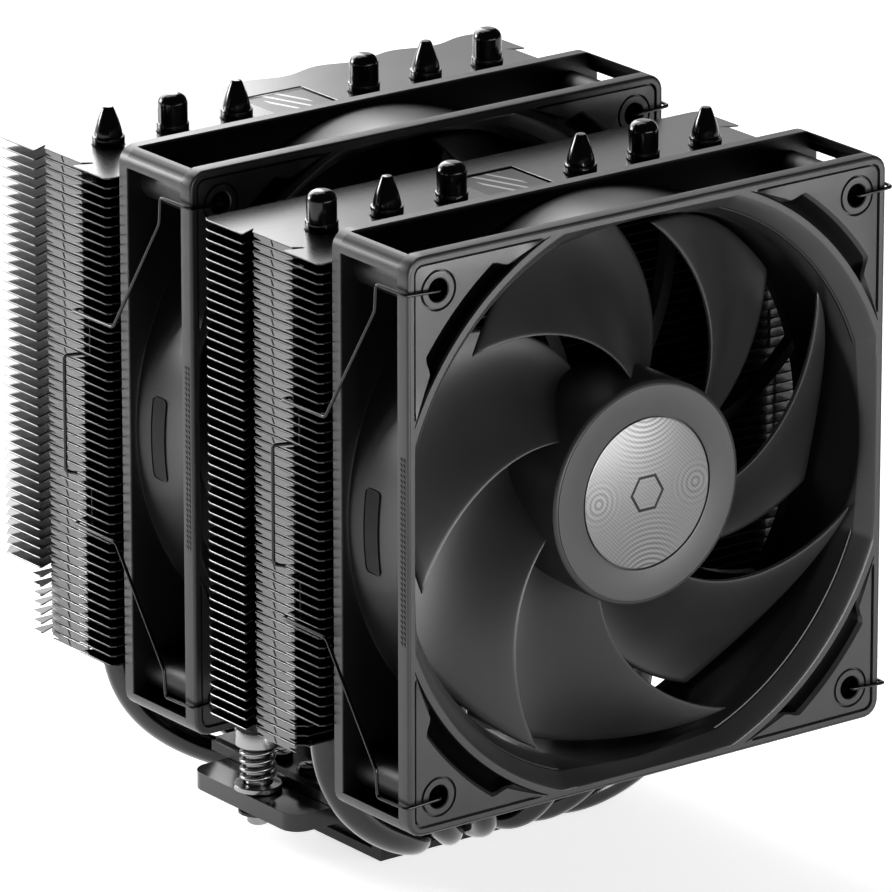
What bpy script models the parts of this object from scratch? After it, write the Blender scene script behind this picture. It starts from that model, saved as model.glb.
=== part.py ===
"""Twin-tower air cooler for a computer processor, with two 120 mm axial fans.

The origin is the centre of the cold plate's lower face, +Z points away from the
processor, -Y is the intake side and X runs across the towers.  Sizes below are in
millimetres and are converted once, by MM.
"""
import math

import bmesh
import bpy
from mathutils import Matrix, Vector

MM = 0.001
NAME = "cpu_tower_cooler"

# Driving sizes, in millimetres.
FAN_SIZE = 120.0
FAN_DEPTH = 25.0
FAN_HOLE_PITCH = 105.0
FAN_CENTRE_Z = 90.0
FRONT_FAN_Y = -80.75
TOWER_PITCH = 72.6
GAP = 0.3

BORE_R = 56.6
DUCT_R = 58.4
FRONT_FLANGE = 3.5
REAR_FLANGE = 3.0
FRAME_CORNER_R = 3.5
BOSS_R = 4.4
SCREW_HOLE_R = 2.4

HUB_R = 23.35
LABEL_R = 15.6
BLADES = 7
BLADE_TIP_R = 55.6
BLADE_FIRST_ANGLE = 88.0
SHAFT_R = 1.5

PIPE_R = 3.0
PIPE_BASE_X = (3.5, 10.5, 17.5)
PIPE_TOWER_X = (16.3, 32.4, 48.5)
PIPE_BASE_Z = 4.6
PIPE_REACH_Y = (40.5, 38.5, 36.0)
PIPE_RISE_Z = (20.0, 17.0, 12.0)
PIPE_Y = 36.85
PIPE_TIP_Z = 151.6
PIPE_BORE_R = 3.8

FIN_TOP_Z = 143.4
FIN_BOTTOM_Z = 38.8
FIN_COUNT = 8
FIN_THICK = 2.4
FIN_FRONT_Y = -55.4
FIN_BACK_Y = -16.3
FIN_HALF_WIDTH = 63.0
SHORT_FIN_Z = 46.5
SHORT_FIN_Y = -45.0
REAR_SHORT_Z = 51.5
REAR_SHORT_Y = 46.0
TAB_FRONT_Y = -42.5
TAB_BACK_Y = -30.5
TAB_X = 60.2
WAVE_COUNT = 6
WAVE_HEIGHT = 2.3
WAVY_BACK_Y = 58.1

PLATE_X, PLATE_Y, PLATE_Z = 25.0, 24.0, 4.45
CLAMP_TOP_Z = 8.0
BAR_X, BAR_Y = 43.0, 18.3
BAR_BOTTOM_Z, BAR_TOP_Z = 8.2, 12.0
CAP_X, CAP_Y = 33.2, 24.0
CAP_TOP_Z = 14.9
RIB_TOP_Z = 17.6
CAP_SCREW_X, CAP_SCREW_Y = 29.2, 5.0

SPRING_SCREW_X = 38.6
WIRE_R = 0.55

COLOURS = {
    "fin_black": ((0.020, 0.020, 0.021, 1.0), 0.85, 0.38),
    "pipe_black": ((0.016, 0.016, 0.017, 1.0), 0.75, 0.22),
    "bar_black": ((0.018, 0.018, 0.019, 1.0), 0.50, 0.18),
    "base_black": ((0.024, 0.024, 0.025, 1.0), 0.70, 0.35),
    "frame_plastic": ((0.048, 0.049, 0.048, 1.0), 0.0, 0.52),
    "blade_plastic": ((0.042, 0.043, 0.043, 1.0), 0.0, 0.36),
    "label_silver": ((0.60, 0.60, 0.59, 1.0), 0.90, 0.30),
    "steel": ((0.50, 0.50, 0.49, 1.0), 0.95, 0.28),
    "dark_steel": ((0.06, 0.06, 0.06, 1.0), 0.90, 0.30),
    "magnet": ((0.05, 0.048, 0.045, 1.0), 0.30, 0.60),
    "bronze": ((0.42, 0.28, 0.14, 1.0), 0.90, 0.35),
    "laminate": ((0.30, 0.30, 0.31, 1.0), 0.80, 0.45),
    "board_green": ((0.02, 0.10, 0.05, 1.0), 0.0, 0.45),
}


# ---------------------------------------------------------------- scene set-up

def clear_scene():
    """Remove every object and leave two collections: the part and its cutters."""
    for old in list(bpy.data.objects):
        bpy.data.objects.remove(old, do_unlink=True)
    made = []
    for name in (NAME, "cutters"):
        group = bpy.data.collections.new(name)
        bpy.context.scene.collection.children.link(group)
        made.append(group)
    return made


PART, CUTTERS = clear_scene()


def finish_of(key):
    """Return the material for one of the named finishes, making it once."""
    if key in bpy.data.materials:
        return bpy.data.materials[key]
    colour, metallic, roughness = COLOURS[key]
    made = bpy.data.materials.new(key)
    made.use_nodes = True
    shader = made.node_tree.nodes["Principled BSDF"]
    shader.inputs["Base Color"].default_value = colour
    shader.inputs["Metallic"].default_value = metallic
    shader.inputs["Roughness"].default_value = roughness
    return made


def add_object(name, data, finish, group=PART):
    """Link new object data into a collection; finish None marks a cutter."""
    made = bpy.data.objects.new(name, data)
    group.objects.link(made)
    if finish is None:
        made.hide_render = True
        made.display_type = "WIRE"
    elif not data.materials:
        data.materials.append(finish_of(finish))
    return made


def mesh_from(bm, name, finish, smooth_angle=35.0):
    """Write a bmesh to a new object, in metres, with outward normals."""
    bmesh.ops.recalc_face_normals(bm, faces=bm.faces[:])
    bmesh.ops.scale(bm, vec=(MM, MM, MM), verts=bm.verts[:])
    mesh = bpy.data.meshes.new(name)
    bm.to_mesh(mesh)
    bm.free()
    mesh.shade_smooth()
    mesh.set_sharp_from_angle(angle=math.radians(smooth_angle))
    return add_object(name, mesh, finish, PART if finish else CUTTERS)


# ------------------------------------------------------------- simple solids

def box(name, low, high, finish=None):
    """Axis-aligned box between two corners."""
    bm = bmesh.new()
    size = [b - a for a, b in zip(low, high)]
    middle = [(a + b) / 2 for a, b in zip(low, high)]
    place = Matrix.Translation(middle) @ Matrix.Diagonal((*size, 1.0))
    bmesh.ops.create_cube(bm, size=1.0, matrix=place)
    return mesh_from(bm, name, finish)


def boxes(name, corners):
    """Several separate boxes as one cutter."""
    bm = bmesh.new()
    for low, high in corners:
        size = [b - a for a, b in zip(low, high)]
        middle = [(a + b) / 2 for a, b in zip(low, high)]
        place = Matrix.Translation(middle) @ Matrix.Diagonal((*size, 1.0))
        bmesh.ops.create_cube(bm, size=1.0, matrix=place)
    return mesh_from(bm, name, None)


def rods(name, starts, direction, radius, length, segments):
    """Parallel cylinders as one cutter."""
    bm = bmesh.new()
    turn = Vector((0, 0, 1)).rotation_difference(Vector(direction)).to_matrix().to_4x4()
    for start in starts:
        middle = Vector(start) + Vector(direction) * (length / 2)
        bmesh.ops.create_cone(
            bm, cap_ends=True, segments=segments, radius1=radius, radius2=radius,
            depth=length, matrix=Matrix.Translation(middle) @ turn)
    return mesh_from(bm, name, None)


def turned(name, profile, finish, steps=18, closed=False):
    """Solid of revolution about local Z; the profile runs down the outer side."""
    mesh = bpy.data.meshes.new(name)
    points = [(r * MM, 0.0, z * MM) for r, z in profile]
    edges = [(i, i + 1) for i in range(len(points) - 1)]
    if closed:
        edges.append((len(points) - 1, 0))
    mesh.from_pydata(points, edges, [])
    made = add_object(name, mesh, finish)
    screw = made.modifiers.new("turn", "SCREW")
    screw.steps = steps
    screw.render_steps = steps
    screw.use_merge_vertices = True
    screw.merge_threshold = 1e-5
    screw.use_smooth_shade = True
    return made


def ring(name, inner, outer, low, high, finish, steps=18):
    """Plain ring about local Z."""
    return turned(name, [(outer, high), (outer, low), (inner, low), (inner, high)],
                  finish, steps, closed=True)


def plate(name, outlines, low, high, finish=None):
    """Flat plate between two heights; outlines after the first one are holes."""
    curve = bpy.data.curves.new(name, "CURVE")
    curve.dimensions = "2D"
    curve.fill_mode = "BOTH"
    curve.extrude = (high - low) / 2 * MM
    for outline in outlines:
        spline = curve.splines.new("POLY")
        spline.points.add(len(outline) - 1)
        for point, (x, y) in zip(spline.points, outline):
            point.co = (x * MM, y * MM, 0.0, 1.0)
        spline.use_cyclic_u = True
    made = as_mesh(add_object(name, curve, finish, PART if finish else CUTTERS), finish)
    made.data.transform(Matrix.Translation((0, 0, (low + high) / 2 * MM)))
    return made


def wire(name, points, radius, finish, radii=None):
    """Round wire or tube along a list of points, closed at both ends."""
    curve = bpy.data.curves.new(name, "CURVE")
    curve.dimensions = "3D"
    curve.bevel_depth = radius * MM
    curve.bevel_resolution = 2
    curve.use_fill_caps = True
    spline = curve.splines.new("POLY")
    spline.points.add(len(points) - 1)
    for index, position in enumerate(points):
        spline.points[index].co = (*(Vector(position) * MM), 1.0)
        spline.points[index].radius = radii[index] / radius if radii else 1.0
    return add_object(name, curve, finish)


def as_mesh(source, finish):
    """Turn a curve object into a welded mesh object of the same name."""
    bpy.context.view_layer.update()
    evaluated = source.evaluated_get(bpy.context.evaluated_depsgraph_get())
    mesh = bpy.data.meshes.new_from_object(evaluated)
    bm = bmesh.new()
    bm.from_mesh(mesh)
    bmesh.ops.remove_doubles(bm, verts=bm.verts[:], dist=1e-6)
    bmesh.ops.recalc_face_normals(bm, faces=bm.faces[:])
    bm.to_mesh(mesh)
    bm.free()
    name, place = source.name, source.matrix_world.copy()
    bpy.data.objects.remove(source, do_unlink=True)
    made = add_object(name, mesh, finish, PART if finish else CUTTERS)
    made.matrix_world = place
    return made


def cut(target, tool, operation="DIFFERENCE"):
    """Subtract a cutter from a solid, or join the two, with a live Boolean."""
    step = target.modifiers.new(tool.name, "BOOLEAN")
    step.operation = operation
    step.object = tool
    step.solver = "EXACT"
    tool.hide_render = True
    tool.display_type = "WIRE"


def bevel(target, width, segments=1):
    """Round the sharp edges of a solid."""
    step = target.modifiers.new("edges", "BEVEL")
    step.width = width * MM
    step.segments = segments
    step.limit_method = "ANGLE"
    step.angle_limit = math.radians(60)


def circle(x, y, radius, count, start=0.0):
    """Points of a regular polygon inscribed in a circle."""
    return [(x + radius * math.cos(start + 2 * math.pi * i / count),
             y + radius * math.sin(start + 2 * math.pi * i / count)) for i in range(count)]


def rounded_box(half_x, half_y, radius, per_corner=3):
    """Outline of a rectangle with round corners, anticlockwise."""
    points = []
    for quarter, (sx, sy) in enumerate(((1, 1), (-1, 1), (-1, -1), (1, -1))):
        for i in range(per_corner + 1):
            turn = math.pi / 2 * (quarter + i / per_corner)
            points.append((sx * (half_x - radius) + radius * math.cos(turn),
                           sy * (half_y - radius) + radius * math.sin(turn)))
    return points


def face_back(piece, front_y, parent=None):
    """Turn a piece built along +Z so that it runs from a fan's front to its back."""
    piece.rotation_euler = (-math.pi / 2, 0.0, 0.0)
    piece.location = (0.0, front_y * MM, FAN_CENTRE_Z * MM)
    if parent:
        piece.location = (0.0, 0.0, 0.0)
        piece.parent = parent


# ---------------------------------------------------------------- base

def build_base():
    """Cold plate, clamp block, crossbar, ribbed cap and the cap's four screws."""
    grooves = rods("groove_tool", [(s * x, -40.0, PIPE_BASE_Z) for x in PIPE_BASE_X
                                   for s in (-1, 1)], (0, 1, 0), PIPE_R + GAP, 80.0, 16)
    cold_plate = box("cold_plate", (-PLATE_X, -PLATE_Y, 0.0),
                     (PLATE_X, PLATE_Y, PLATE_Z), "base_black")
    sides = boxes("side_recess_tool", [
        ((s * 26 - 2.2, -PLATE_Y + 3.0, 2.0), (s * 26 + 2.2, PLATE_Y - 3.0, 6.0))
        for s in (-1, 1)])
    cut(cold_plate, sides)
    cut(cold_plate, grooves)

    clamp = box("pipe_clamp_block", (-23.0, -PLATE_Y + 1.0, PLATE_Z + 0.15),
                (23.0, PLATE_Y - 1.0, CLAMP_TOP_Z), "base_black")
    cut(clamp, grooves)

    bar = plate("mounting_bar", [rounded_box(BAR_X, BAR_Y, 4.0)]
                + [circle(s * SPRING_SCREW_X, 0.0, 3.15, 16) for s in (-1, 1)],
                BAR_BOTTOM_Z, BAR_TOP_Z, "bar_black")
    bevel(bar, 0.3)

    cap = box("base_cap", (-CAP_X, -CAP_Y, BAR_TOP_Z + 0.15),
              (CAP_X, CAP_Y, CAP_TOP_Z), "base_black")
    ribs = boxes("rib_tool", [((x - 0.9, -CAP_Y + 0.4, CAP_TOP_Z - 0.6),
                               (x + 0.9, CAP_Y - 0.4, RIB_TOP_Z))
                              for x in [i * 6.0 for i in range(-4, 5)]])
    ledge = boxes("ledge_tool", [((s * CAP_X - 1.2, -25.0, CAP_TOP_Z - 0.7),
                                  (s * CAP_X + 1.2, 25.0, CAP_TOP_Z + 1.0))
                                 for s in (-1, 1)])
    holes = rods("cap_hole_tool", [(sx * CAP_SCREW_X, sy * CAP_SCREW_Y, 11.0)
                                   for sx in (-1, 1) for sy in (-1, 1)],
                 (0, 0, 1), 1.6, 6.0, 12)
    cut(cap, ribs, "UNION")
    cut(cap, ledge)
    cut(cap, holes)

    for side, sx in (("left", -1), ("right", 1)):
        for end, sy in (("front", -1), ("rear", 1)):
            screw = turned(f"cap_screw_{end}_{side}",
                           [(0.0, 1.70), (2.2, 1.60), (2.65, 1.15), (2.65, 0.15),
                            (1.25, 0.15), (1.25, -2.55), (0.0, -2.55)], "dark_steel", 12)
            screw.location = (sx * CAP_SCREW_X * MM, sy * CAP_SCREW_Y * MM, CAP_TOP_Z * MM)
            cross = plate(f"cross_tool_{end}_{side}", [cross_outline(1.5, 0.3)], 0.9, 3.0)
            cross.location = screw.location
            cut(screw, cross)


def cross_outline(reach, half):
    """Outline of a plus sign."""
    arm = [(reach, -half), (reach, half), (half, half)]
    points = []
    for quarter in range(4):
        turn = Matrix.Rotation(math.pi / 2 * quarter, 2)
        points += [tuple(turn @ Vector(p)) for p in arm]
    return points


def build_spring_screw(side, sx):
    """Shouldered screw, its spring, washer and retaining clip, on one bar end."""
    place = (sx * SPRING_SCREW_X * MM, 0.0, 0.0)
    screw = turned(f"spring_screw_{side}",
                   [(0.0, 23.2), (2.6, 23.2), (3.1, 25.5), (4.3, 25.5), (4.65, 25.1),
                    (4.65, 21.9), (4.4, 21.7), (2.6, 21.7), (2.6, 7.75), (1.9, 7.75),
                    (1.9, 6.75), (2.3, 6.75), (2.3, 4.9), (1.9, 4.5), (0.0, 4.5)],
                   "steel", 16)
    washer = ring(f"spring_washer_{side}", 3.1, 5.05, BAR_TOP_Z + 0.15, BAR_TOP_Z + 1.3,
                  "steel")
    clip = ring(f"retaining_clip_{side}", 2.1, 4.2, 6.95, 7.55, "dark_steel", 16)
    turns, per_turn, low, high = 4.0, 10, 13.98, 21.1
    count = int(turns * per_turn)
    coil = [(3.35 * math.cos(2 * math.pi * i / per_turn),
             3.35 * math.sin(2 * math.pi * i / per_turn),
             low + (high - low) * i / count) for i in range(count + 1)]
    spring = wire(f"spring_{side}", coil, 0.48, "steel")
    for piece in (screw, washer, clip, spring):
        piece.location = place


# ---------------------------------------------------------------- heat pipes

def bezier(points, share):
    """Point on a cubic Bezier curve at a share of its length, 0 to 1."""
    a, b, c, d = (Vector(p) for p in points)
    rest = 1.0 - share
    return a * rest**3 + b * 3 * rest**2 * share + c * 3 * rest * share**2 + d * share**3


def pipe_leg(sx, rank, back, dome):
    """Half of one pipe, from the base's edge to its tip: points and radii."""
    sy = 1 if back else -1
    base_x, tower_x = sx * PIPE_BASE_X[rank], sx * PIPE_TOWER_X[rank]
    start = (base_x, sy * 24.3, PIPE_BASE_Z)
    control_out = (base_x, sy * PIPE_REACH_Y[rank], PIPE_BASE_Z)
    control_up = (tower_x, sy * PIPE_Y, PIPE_RISE_Z[rank])
    end = (tower_x, sy * PIPE_Y, FIN_BOTTOM_Z - 1.3)
    bend = [bezier((start, control_out, control_up, end), i / 7) for i in range(8)]
    tip = PIPE_TIP_Z
    if dome:
        shape = [(tip - 8.0, 3.0), (tip - 8.0, 3.55), (tip - 6.2, 3.55), (tip - 6.2, 3.2),
                 (tip - 2.6, 3.2), (tip - 1.2, 2.7), (tip - 0.3, 1.5), (tip, 0.4)]
    else:
        shape = [(tip - 8.0, 3.0), (tip - 8.0, 3.55), (tip - 6.2, 3.55), (tip - 6.2, 2.95),
                 (tip - 4.6, 2.95), (tip - 0.6, 1.25), (tip, 0.9)]
    points, radii = bend, [PIPE_R] * len(bend)
    for index, (z, r) in enumerate(shape):
        points.append(Vector((tower_x, sy * PIPE_Y, z + 0.02 * index)))
        radii.append(r)
    return points, radii


def build_pipes():
    """Six U-shaped pipes, each with one domed and one tapered end."""
    sides = [(-1, rank) for rank in (2, 1, 0)] + [(1, rank) for rank in (0, 1, 2)]
    for number, (sx, rank) in enumerate(sides):
        dome_front = number in (0, 2, 4)
        front, front_r = pipe_leg(sx, rank, False, dome_front)
        back, back_r = pipe_leg(sx, rank, True, not dome_front)
        wire(f"heat_pipe_{number + 1}", front[::-1] + back, PIPE_R, "pipe_black",
             front_r[::-1] + back_r)


# ---------------------------------------------------------------- towers

def fin_outline(wavy):
    """Plan of one fin sheet of the front tower, or of the rear tower if wavy."""
    shift = TOWER_PITCH if wavy else 0.0
    left = [(-60.3, FIN_FRONT_Y), (-FIN_HALF_WIDTH, FIN_FRONT_Y + 1.0), (-62.9, -43.65),
            (-59.2, -44.75), (-60.4, -43.3), (-60.4, -29.6), (-59.2, -28.0),
            (-FIN_HALF_WIDTH, -29.9), (-62.3, FIN_BACK_Y)]
    left = [(x, y + shift) for x, y in left]
    right = [(-x, y) for x, y in reversed(left)]
    if not wavy:
        return left + right
    half = 60.5
    count = WAVE_COUNT * 2
    wave = [(-half + 2 * half * i / count,
             WAVY_BACK_Y - WAVE_HEIGHT * (i % 2))
            for i in range(count + 1)]
    return left + wave + right


def build_stack(name, wavy):
    """One tower: sheets cut from a block, held together by folded side tabs."""
    shift = TOWER_PITCH if wavy else 0.0
    pipe_y = PIPE_Y if wavy else -PIPE_Y
    bores = [circle(s * x, pipe_y, PIPE_BORE_R, 6, 0.004 * s * x)
             for x in PIPE_TOWER_X for s in (-1, 1)]
    stack = plate(name, [fin_outline(wavy)] + bores, FIN_BOTTOM_Z,
                  FIN_BOTTOM_Z + FIN_THICK, "fin_black")
    repeat = stack.modifiers.new("levels", "ARRAY")
    repeat.count = FIN_COUNT
    repeat.use_relative_offset = False
    repeat.use_constant_offset = True
    pitch = (FIN_TOP_Z - FIN_BOTTOM_Z - FIN_THICK) / (FIN_COUNT - 1)
    repeat.constant_offset_displace = (0.0, 0.0, pitch * MM)
    tabs = boxes(f"{name}_tab_tool", [
        ((s * TAB_X - 0.5, TAB_FRONT_Y + shift, FIN_BOTTOM_Z + 0.5),
         (s * TAB_X + 0.5, TAB_BACK_Y + shift, FIN_TOP_Z - 0.5)) for s in (-1, 1)])
    cut(stack, tabs, "UNION")

    low_y, high_y = -60.0 + shift, -10.0 + shift
    if wavy:
        relief = box(f"{name}_relief_tool", (-70.0, REAR_SHORT_Y, 30.0),
                     (70.0, high_y, REAR_SHORT_Z))
    else:
        relief = box(f"{name}_relief_tool", (-70.0, low_y, 30.0),
                     (70.0, SHORT_FIN_Y, SHORT_FIN_Z))
    cut(stack, relief)

    window = box(f"{name}_window_tool", (-8.0, -40.2 + shift, FIN_TOP_Z - 1.3),
                 (8.0, -24.8 + shift, FIN_TOP_Z + 1.0))
    cut(stack, window)
    emblem = box(f"emblem_plate_{name.split('_')[-1]}",
                 (-7.6, -39.8 + shift, FIN_TOP_Z - 1.0),
                 (7.6, -25.2 + shift, FIN_TOP_Z - 0.35), "label_silver")
    bevel(emblem, 0.15)


# ---------------------------------------------------------------- fans

def build_frame(name, front_y):
    """Square fan frame: two flanges, duct, corner bosses and the motor's spider."""
    holes = FAN_HOLE_PITCH / 2
    corners = [(sx * holes, sy * holes) for sx in (-1, 1) for sy in (-1, 1)]
    frame = plate(name, [rounded_box(FAN_SIZE / 2, FAN_SIZE / 2, FRAME_CORNER_R),
                         circle(0, 0, BORE_R, 32)]
                  + [circle(x, y, SCREW_HOLE_R, 8) for x, y in corners],
                  0.0, FAN_DEPTH, "frame_plastic")
    waist = plate(f"{name}_waist_tool", [rounded_box(70.0, 70.0, 1.0, 1),
                                         circle(0, 0, DUCT_R, 32)]
                  + [circle(x, y, BOSS_R, 8) for x, y in corners],
                  FRONT_FLANGE, FAN_DEPTH - REAR_FLANGE)
    spider = plate(f"{name}_spider_tool", [spider_outline(), circle(0, 0, 4.4, 16)],
                   FAN_DEPTH - 3.2, FAN_DEPTH - 0.2)
    tube = ring(f"{name}_tube_tool", 4.4, 5.4, 7.0, FAN_DEPTH - 2.0, None, 16)
    move_to_cutters(tube)
    for piece in (frame, waist, spider, tube):
        face_back(piece, front_y)
    cut(frame, waist)
    cut(frame, spider, "UNION")
    cut(frame, tube, "UNION")
    return frame


def move_to_cutters(piece):
    """Put a tool that was made as a part among the cutters."""
    for group in list(piece.users_collection):
        group.objects.unlink(piece)
    CUTTERS.objects.link(piece)


def spider_outline():
    """Motor base disc with seven curved struts that end inside the duct wall."""
    points = []
    struts, half = 7, math.radians(2.4)
    for k in range(struts):
        centre = 2 * math.pi * k / struts
        lean = math.radians(14)
        points.append((22.5 * math.cos(centre - 0.12), 22.5 * math.sin(centre - 0.12)))
        points.append((57.4 * math.cos(centre + lean - half * 0.6),
                       57.4 * math.sin(centre + lean - half * 0.6)))
        points.append((57.4 * math.cos(centre + lean + half * 0.6),
                       57.4 * math.sin(centre + lean + half * 0.6)))
        points.append((22.5 * math.cos(centre + 0.12), 22.5 * math.sin(centre + 0.12)))
        for j in range(1, 3):
            turn = centre + 0.12 + (2 * math.pi / struts - 0.24) * j / 3
            points.append((22.5 * math.cos(turn), 22.5 * math.sin(turn)))
    return points


def blade_point(across, along, lift):
    """Point on a blade: across 0 root to 1 tip, along 0 leading to 1 trailing edge."""
    radius = (HUB_R - 1.0) + (BLADE_TIP_R - HUB_R + 1.0) * across
    leading = BLADE_FIRST_ANGLE - 47.0 * (1.0 - across)
    wrap = 42.0 + 8.0 * across
    angle = math.radians(leading - wrap * along)
    depth = (4.5 - 2.3 * across) + (14.0 + 1.0 * across) * math.sin(math.pi / 2 * along) ** 1.15
    return Vector((radius * math.cos(angle), -radius * math.sin(angle), depth + lift))


def build_impeller(name, parent):
    """Cup-shaped hub with swept blades, joined into one moulding."""
    hub = turned(name, [(1.8, 6.5), (3.2, 6.5), (3.2, 2.8), (21.7, 2.8), (21.7, 19.0),
                        (HUB_R, 19.0), (HUB_R, 1.5), (HUB_R - 0.9, 0.7),
                        (LABEL_R + 0.4, 0.7), (LABEL_R + 0.4, 1.4), (1.8, 1.4)],
                 "blade_plastic", 24, closed=True)
    rows, columns = 3, 4
    bm = bmesh.new()
    for blade in range(BLADES):
        spin = Matrix.Rotation(2 * math.pi * blade / BLADES, 3, "Z")
        skins = []
        for lift in (0.0, 1.3):
            skins.append([[bm.verts.new(spin @ blade_point(i / rows, j / columns, lift))
                           for j in range(columns + 1)] for i in range(rows + 1)])
        close_sheet(bm, skins)
    blades = mesh_from(bm, f"{name}_blade_tool", None)
    for piece in (hub, blades):
        face_back(piece, 0.0, parent)
    cut(hub, blades, "UNION")
    return hub


def close_sheet(bm, skins):
    """Faces of a thin sheet given as two grids of vertices."""
    low, high = skins
    rows, columns = len(low) - 1, len(low[0]) - 1
    for i in range(rows):
        for j in range(columns):
            bm.faces.new((low[i][j], low[i][j + 1], low[i + 1][j + 1], low[i + 1][j]))
            bm.faces.new((high[i][j], high[i + 1][j], high[i + 1][j + 1], high[i][j + 1]))
    for i in range(rows):
        for j in (0, columns):
            bm.faces.new((low[i][j], low[i + 1][j], high[i + 1][j], high[i][j]))
    for j in range(columns):
        for i in (0, rows):
            bm.faces.new((low[i][j], low[i][j + 1], high[i][j + 1], high[i][j]))


def stator_outline(poles=4):
    """Laminated stator: a hub with T-shaped poles."""
    points = []
    for k in range(poles):
        for radius, degrees in ((6.8, -18), (15.0, -8), (15.0, -36), (17.2, -36), (17.2, 0),
                                (17.2, 36), (15.0, 36), (15.0, 8), (6.8, 18)):
            turn = 2 * math.pi * k / poles + math.radians(degrees)
            points.append((radius * math.cos(turn), radius * math.sin(turn)))
    return points


def build_fan(label, front_y):
    """One fan: fixed frame and motor parts, and the rotor on its own axis."""
    build_frame(f"{label}_fan_frame", front_y)
    axis = bpy.data.objects.new(f"{label}_rotor_axis", None)
    PART.objects.link(axis)
    axis.location = (0.0, front_y * MM, FAN_CENTRE_Z * MM)

    build_impeller(f"{label}_impeller", axis)
    rotor = [
        turned(f"{label}_hub_label", [(0.0, 1.1), (LABEL_R, 1.1), (LABEL_R, 0.75), (0.0, 0.75)],
               "label_silver", 24),
        turned(f"{label}_rotor_yoke", [(21.4, 18.4), (21.4, 3.2), (4.0, 3.2), (4.0, 4.2),
                                       (20.3, 4.2), (20.3, 18.4)], "dark_steel", 18, True),
        ring(f"{label}_rotor_magnet", 17.8, 20.0, 6.0, 17.6, "magnet"),
        turned(f"{label}_shaft", [(0.0, 20.6), (1.2, 20.6), (SHAFT_R, 20.2), (SHAFT_R, 2.4),
                                  (1.2, 2.1), (0.0, 2.1)], "steel", 16),
    ]
    for piece in rotor:
        face_back(piece, 0.0, axis)
    fixed = [
        ring(f"{label}_bearing_sleeve", 1.6, 4.05, 7.4, 19.6, "bronze", 16),
        plate(f"{label}_stator", [stator_outline(), circle(0, 0, 5.75, 16)], 8.0, 16.4,
              "laminate"),
        ring(f"{label}_circuit_board", 5.8, 17.0, 18.6, 19.8, "board_green"),
    ]
    for piece in fixed:
        face_back(piece, front_y)


# ---------------------------------------------------------------- wire clips

def build_clip(name, sx, shift):
    """Sprung wire that hooks a fan's two side holes and snaps into the fin slit."""
    hole_x = FAN_HOLE_PITCH / 2
    top = [(hole_x, -77.6, 142.5), (hole_x, -81.5, 142.6), (60.7, -81.65, 143.0),
           (61.3, -80.8, 143.1), (61.4, -73.6, 143.2), (61.6, -72.6, 139.2),
           (63.9, -56.0, 113.4), (63.9, -42.6, 112.3), (61.8, -41.9, 110.6),
           (61.8, -41.9, 102.9), (63.4, -39.6, 101.8)]
    low = [(x, y, 2 * FAN_CENTRE_Z - z) for x, y, z in reversed(top)]
    points = [(sx * x, y + shift, z) for x, y, z in top + low]
    wire(name, points, WIRE_R, "dark_steel")


def main():
    """Build the whole cooler."""
    build_base()
    for side, sx in (("left", -1), ("right", 1)):
        build_spring_screw(side, sx)
    build_pipes()
    build_stack("fin_stack_front", False)
    build_stack("fin_stack_rear", True)
    build_fan("front", FRONT_FAN_Y)
    build_fan("middle", FRONT_FAN_Y + TOWER_PITCH)
    for side, sx in (("left", -1), ("right", 1)):
        build_clip(f"front_clip_{side}", sx, 0.0)
        build_clip(f"middle_clip_{side}", sx, TOWER_PITCH)


main()
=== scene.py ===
"""Twin-tower processor cooler with two fans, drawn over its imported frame.

Every size is in millimetres.  X runs across the towers, -Y is the intake side, +Z
points away from the processor, and the origin is the centre of the contact face.
"""
import logging
import math
from dataclasses import dataclass, field
from enum import Enum
from typing import Any

import bmesh
import bpy
import numpy as np
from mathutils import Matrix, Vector
from mathutils.geometry import tessellate_polygon

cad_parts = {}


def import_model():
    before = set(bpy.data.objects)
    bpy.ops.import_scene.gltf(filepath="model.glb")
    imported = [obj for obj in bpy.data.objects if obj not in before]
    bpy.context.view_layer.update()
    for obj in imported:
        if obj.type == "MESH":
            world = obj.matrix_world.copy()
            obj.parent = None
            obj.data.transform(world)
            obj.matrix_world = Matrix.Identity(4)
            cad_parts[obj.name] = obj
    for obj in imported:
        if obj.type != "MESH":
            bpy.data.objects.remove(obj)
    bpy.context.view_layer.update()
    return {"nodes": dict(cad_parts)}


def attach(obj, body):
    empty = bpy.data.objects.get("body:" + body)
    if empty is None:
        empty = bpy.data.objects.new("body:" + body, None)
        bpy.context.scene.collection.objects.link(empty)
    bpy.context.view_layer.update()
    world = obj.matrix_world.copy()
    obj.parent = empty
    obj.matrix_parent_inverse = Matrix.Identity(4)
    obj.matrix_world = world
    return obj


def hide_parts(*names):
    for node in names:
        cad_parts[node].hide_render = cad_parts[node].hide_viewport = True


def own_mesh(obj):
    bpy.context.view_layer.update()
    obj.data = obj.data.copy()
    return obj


MM = 0.001
TAU = 2.0 * math.pi
SHARP = 32.0  # degrees above which an edge stays sharp
STRAY = 1e-5  # metres past a piece's own box that count as outside it
Array = np.ndarray
log = logging.getLogger("cooler")


# ---------------------------------------------------------------- choices

class Side(Enum):
    """Which side of the cooler a piece is on, as the sign of its X."""

    LEFT = -1
    RIGHT = 1

    @property
    def word(self) -> str:
        """The side's name in lower case."""
        return self.name.lower()


class Bay(Enum):
    """Where a fan and its tower sit along the air's path: the label and the row number."""

    FRONT = ("front", 0)
    MIDDLE = ("middle", 1)

    @property
    def word(self) -> str:
        """The bay's label in node names."""
        return self.value[0]

    @property
    def row(self) -> int:
        """How many tower pitches the bay lies behind the first one."""
        return self.value[1]


class Tip(Enum):
    """Closing shape of a heat pipe's end."""

    DOME = "dome"
    TAPER = "taper"


# ---------------------------------------------------------------- mesh tools

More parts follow.
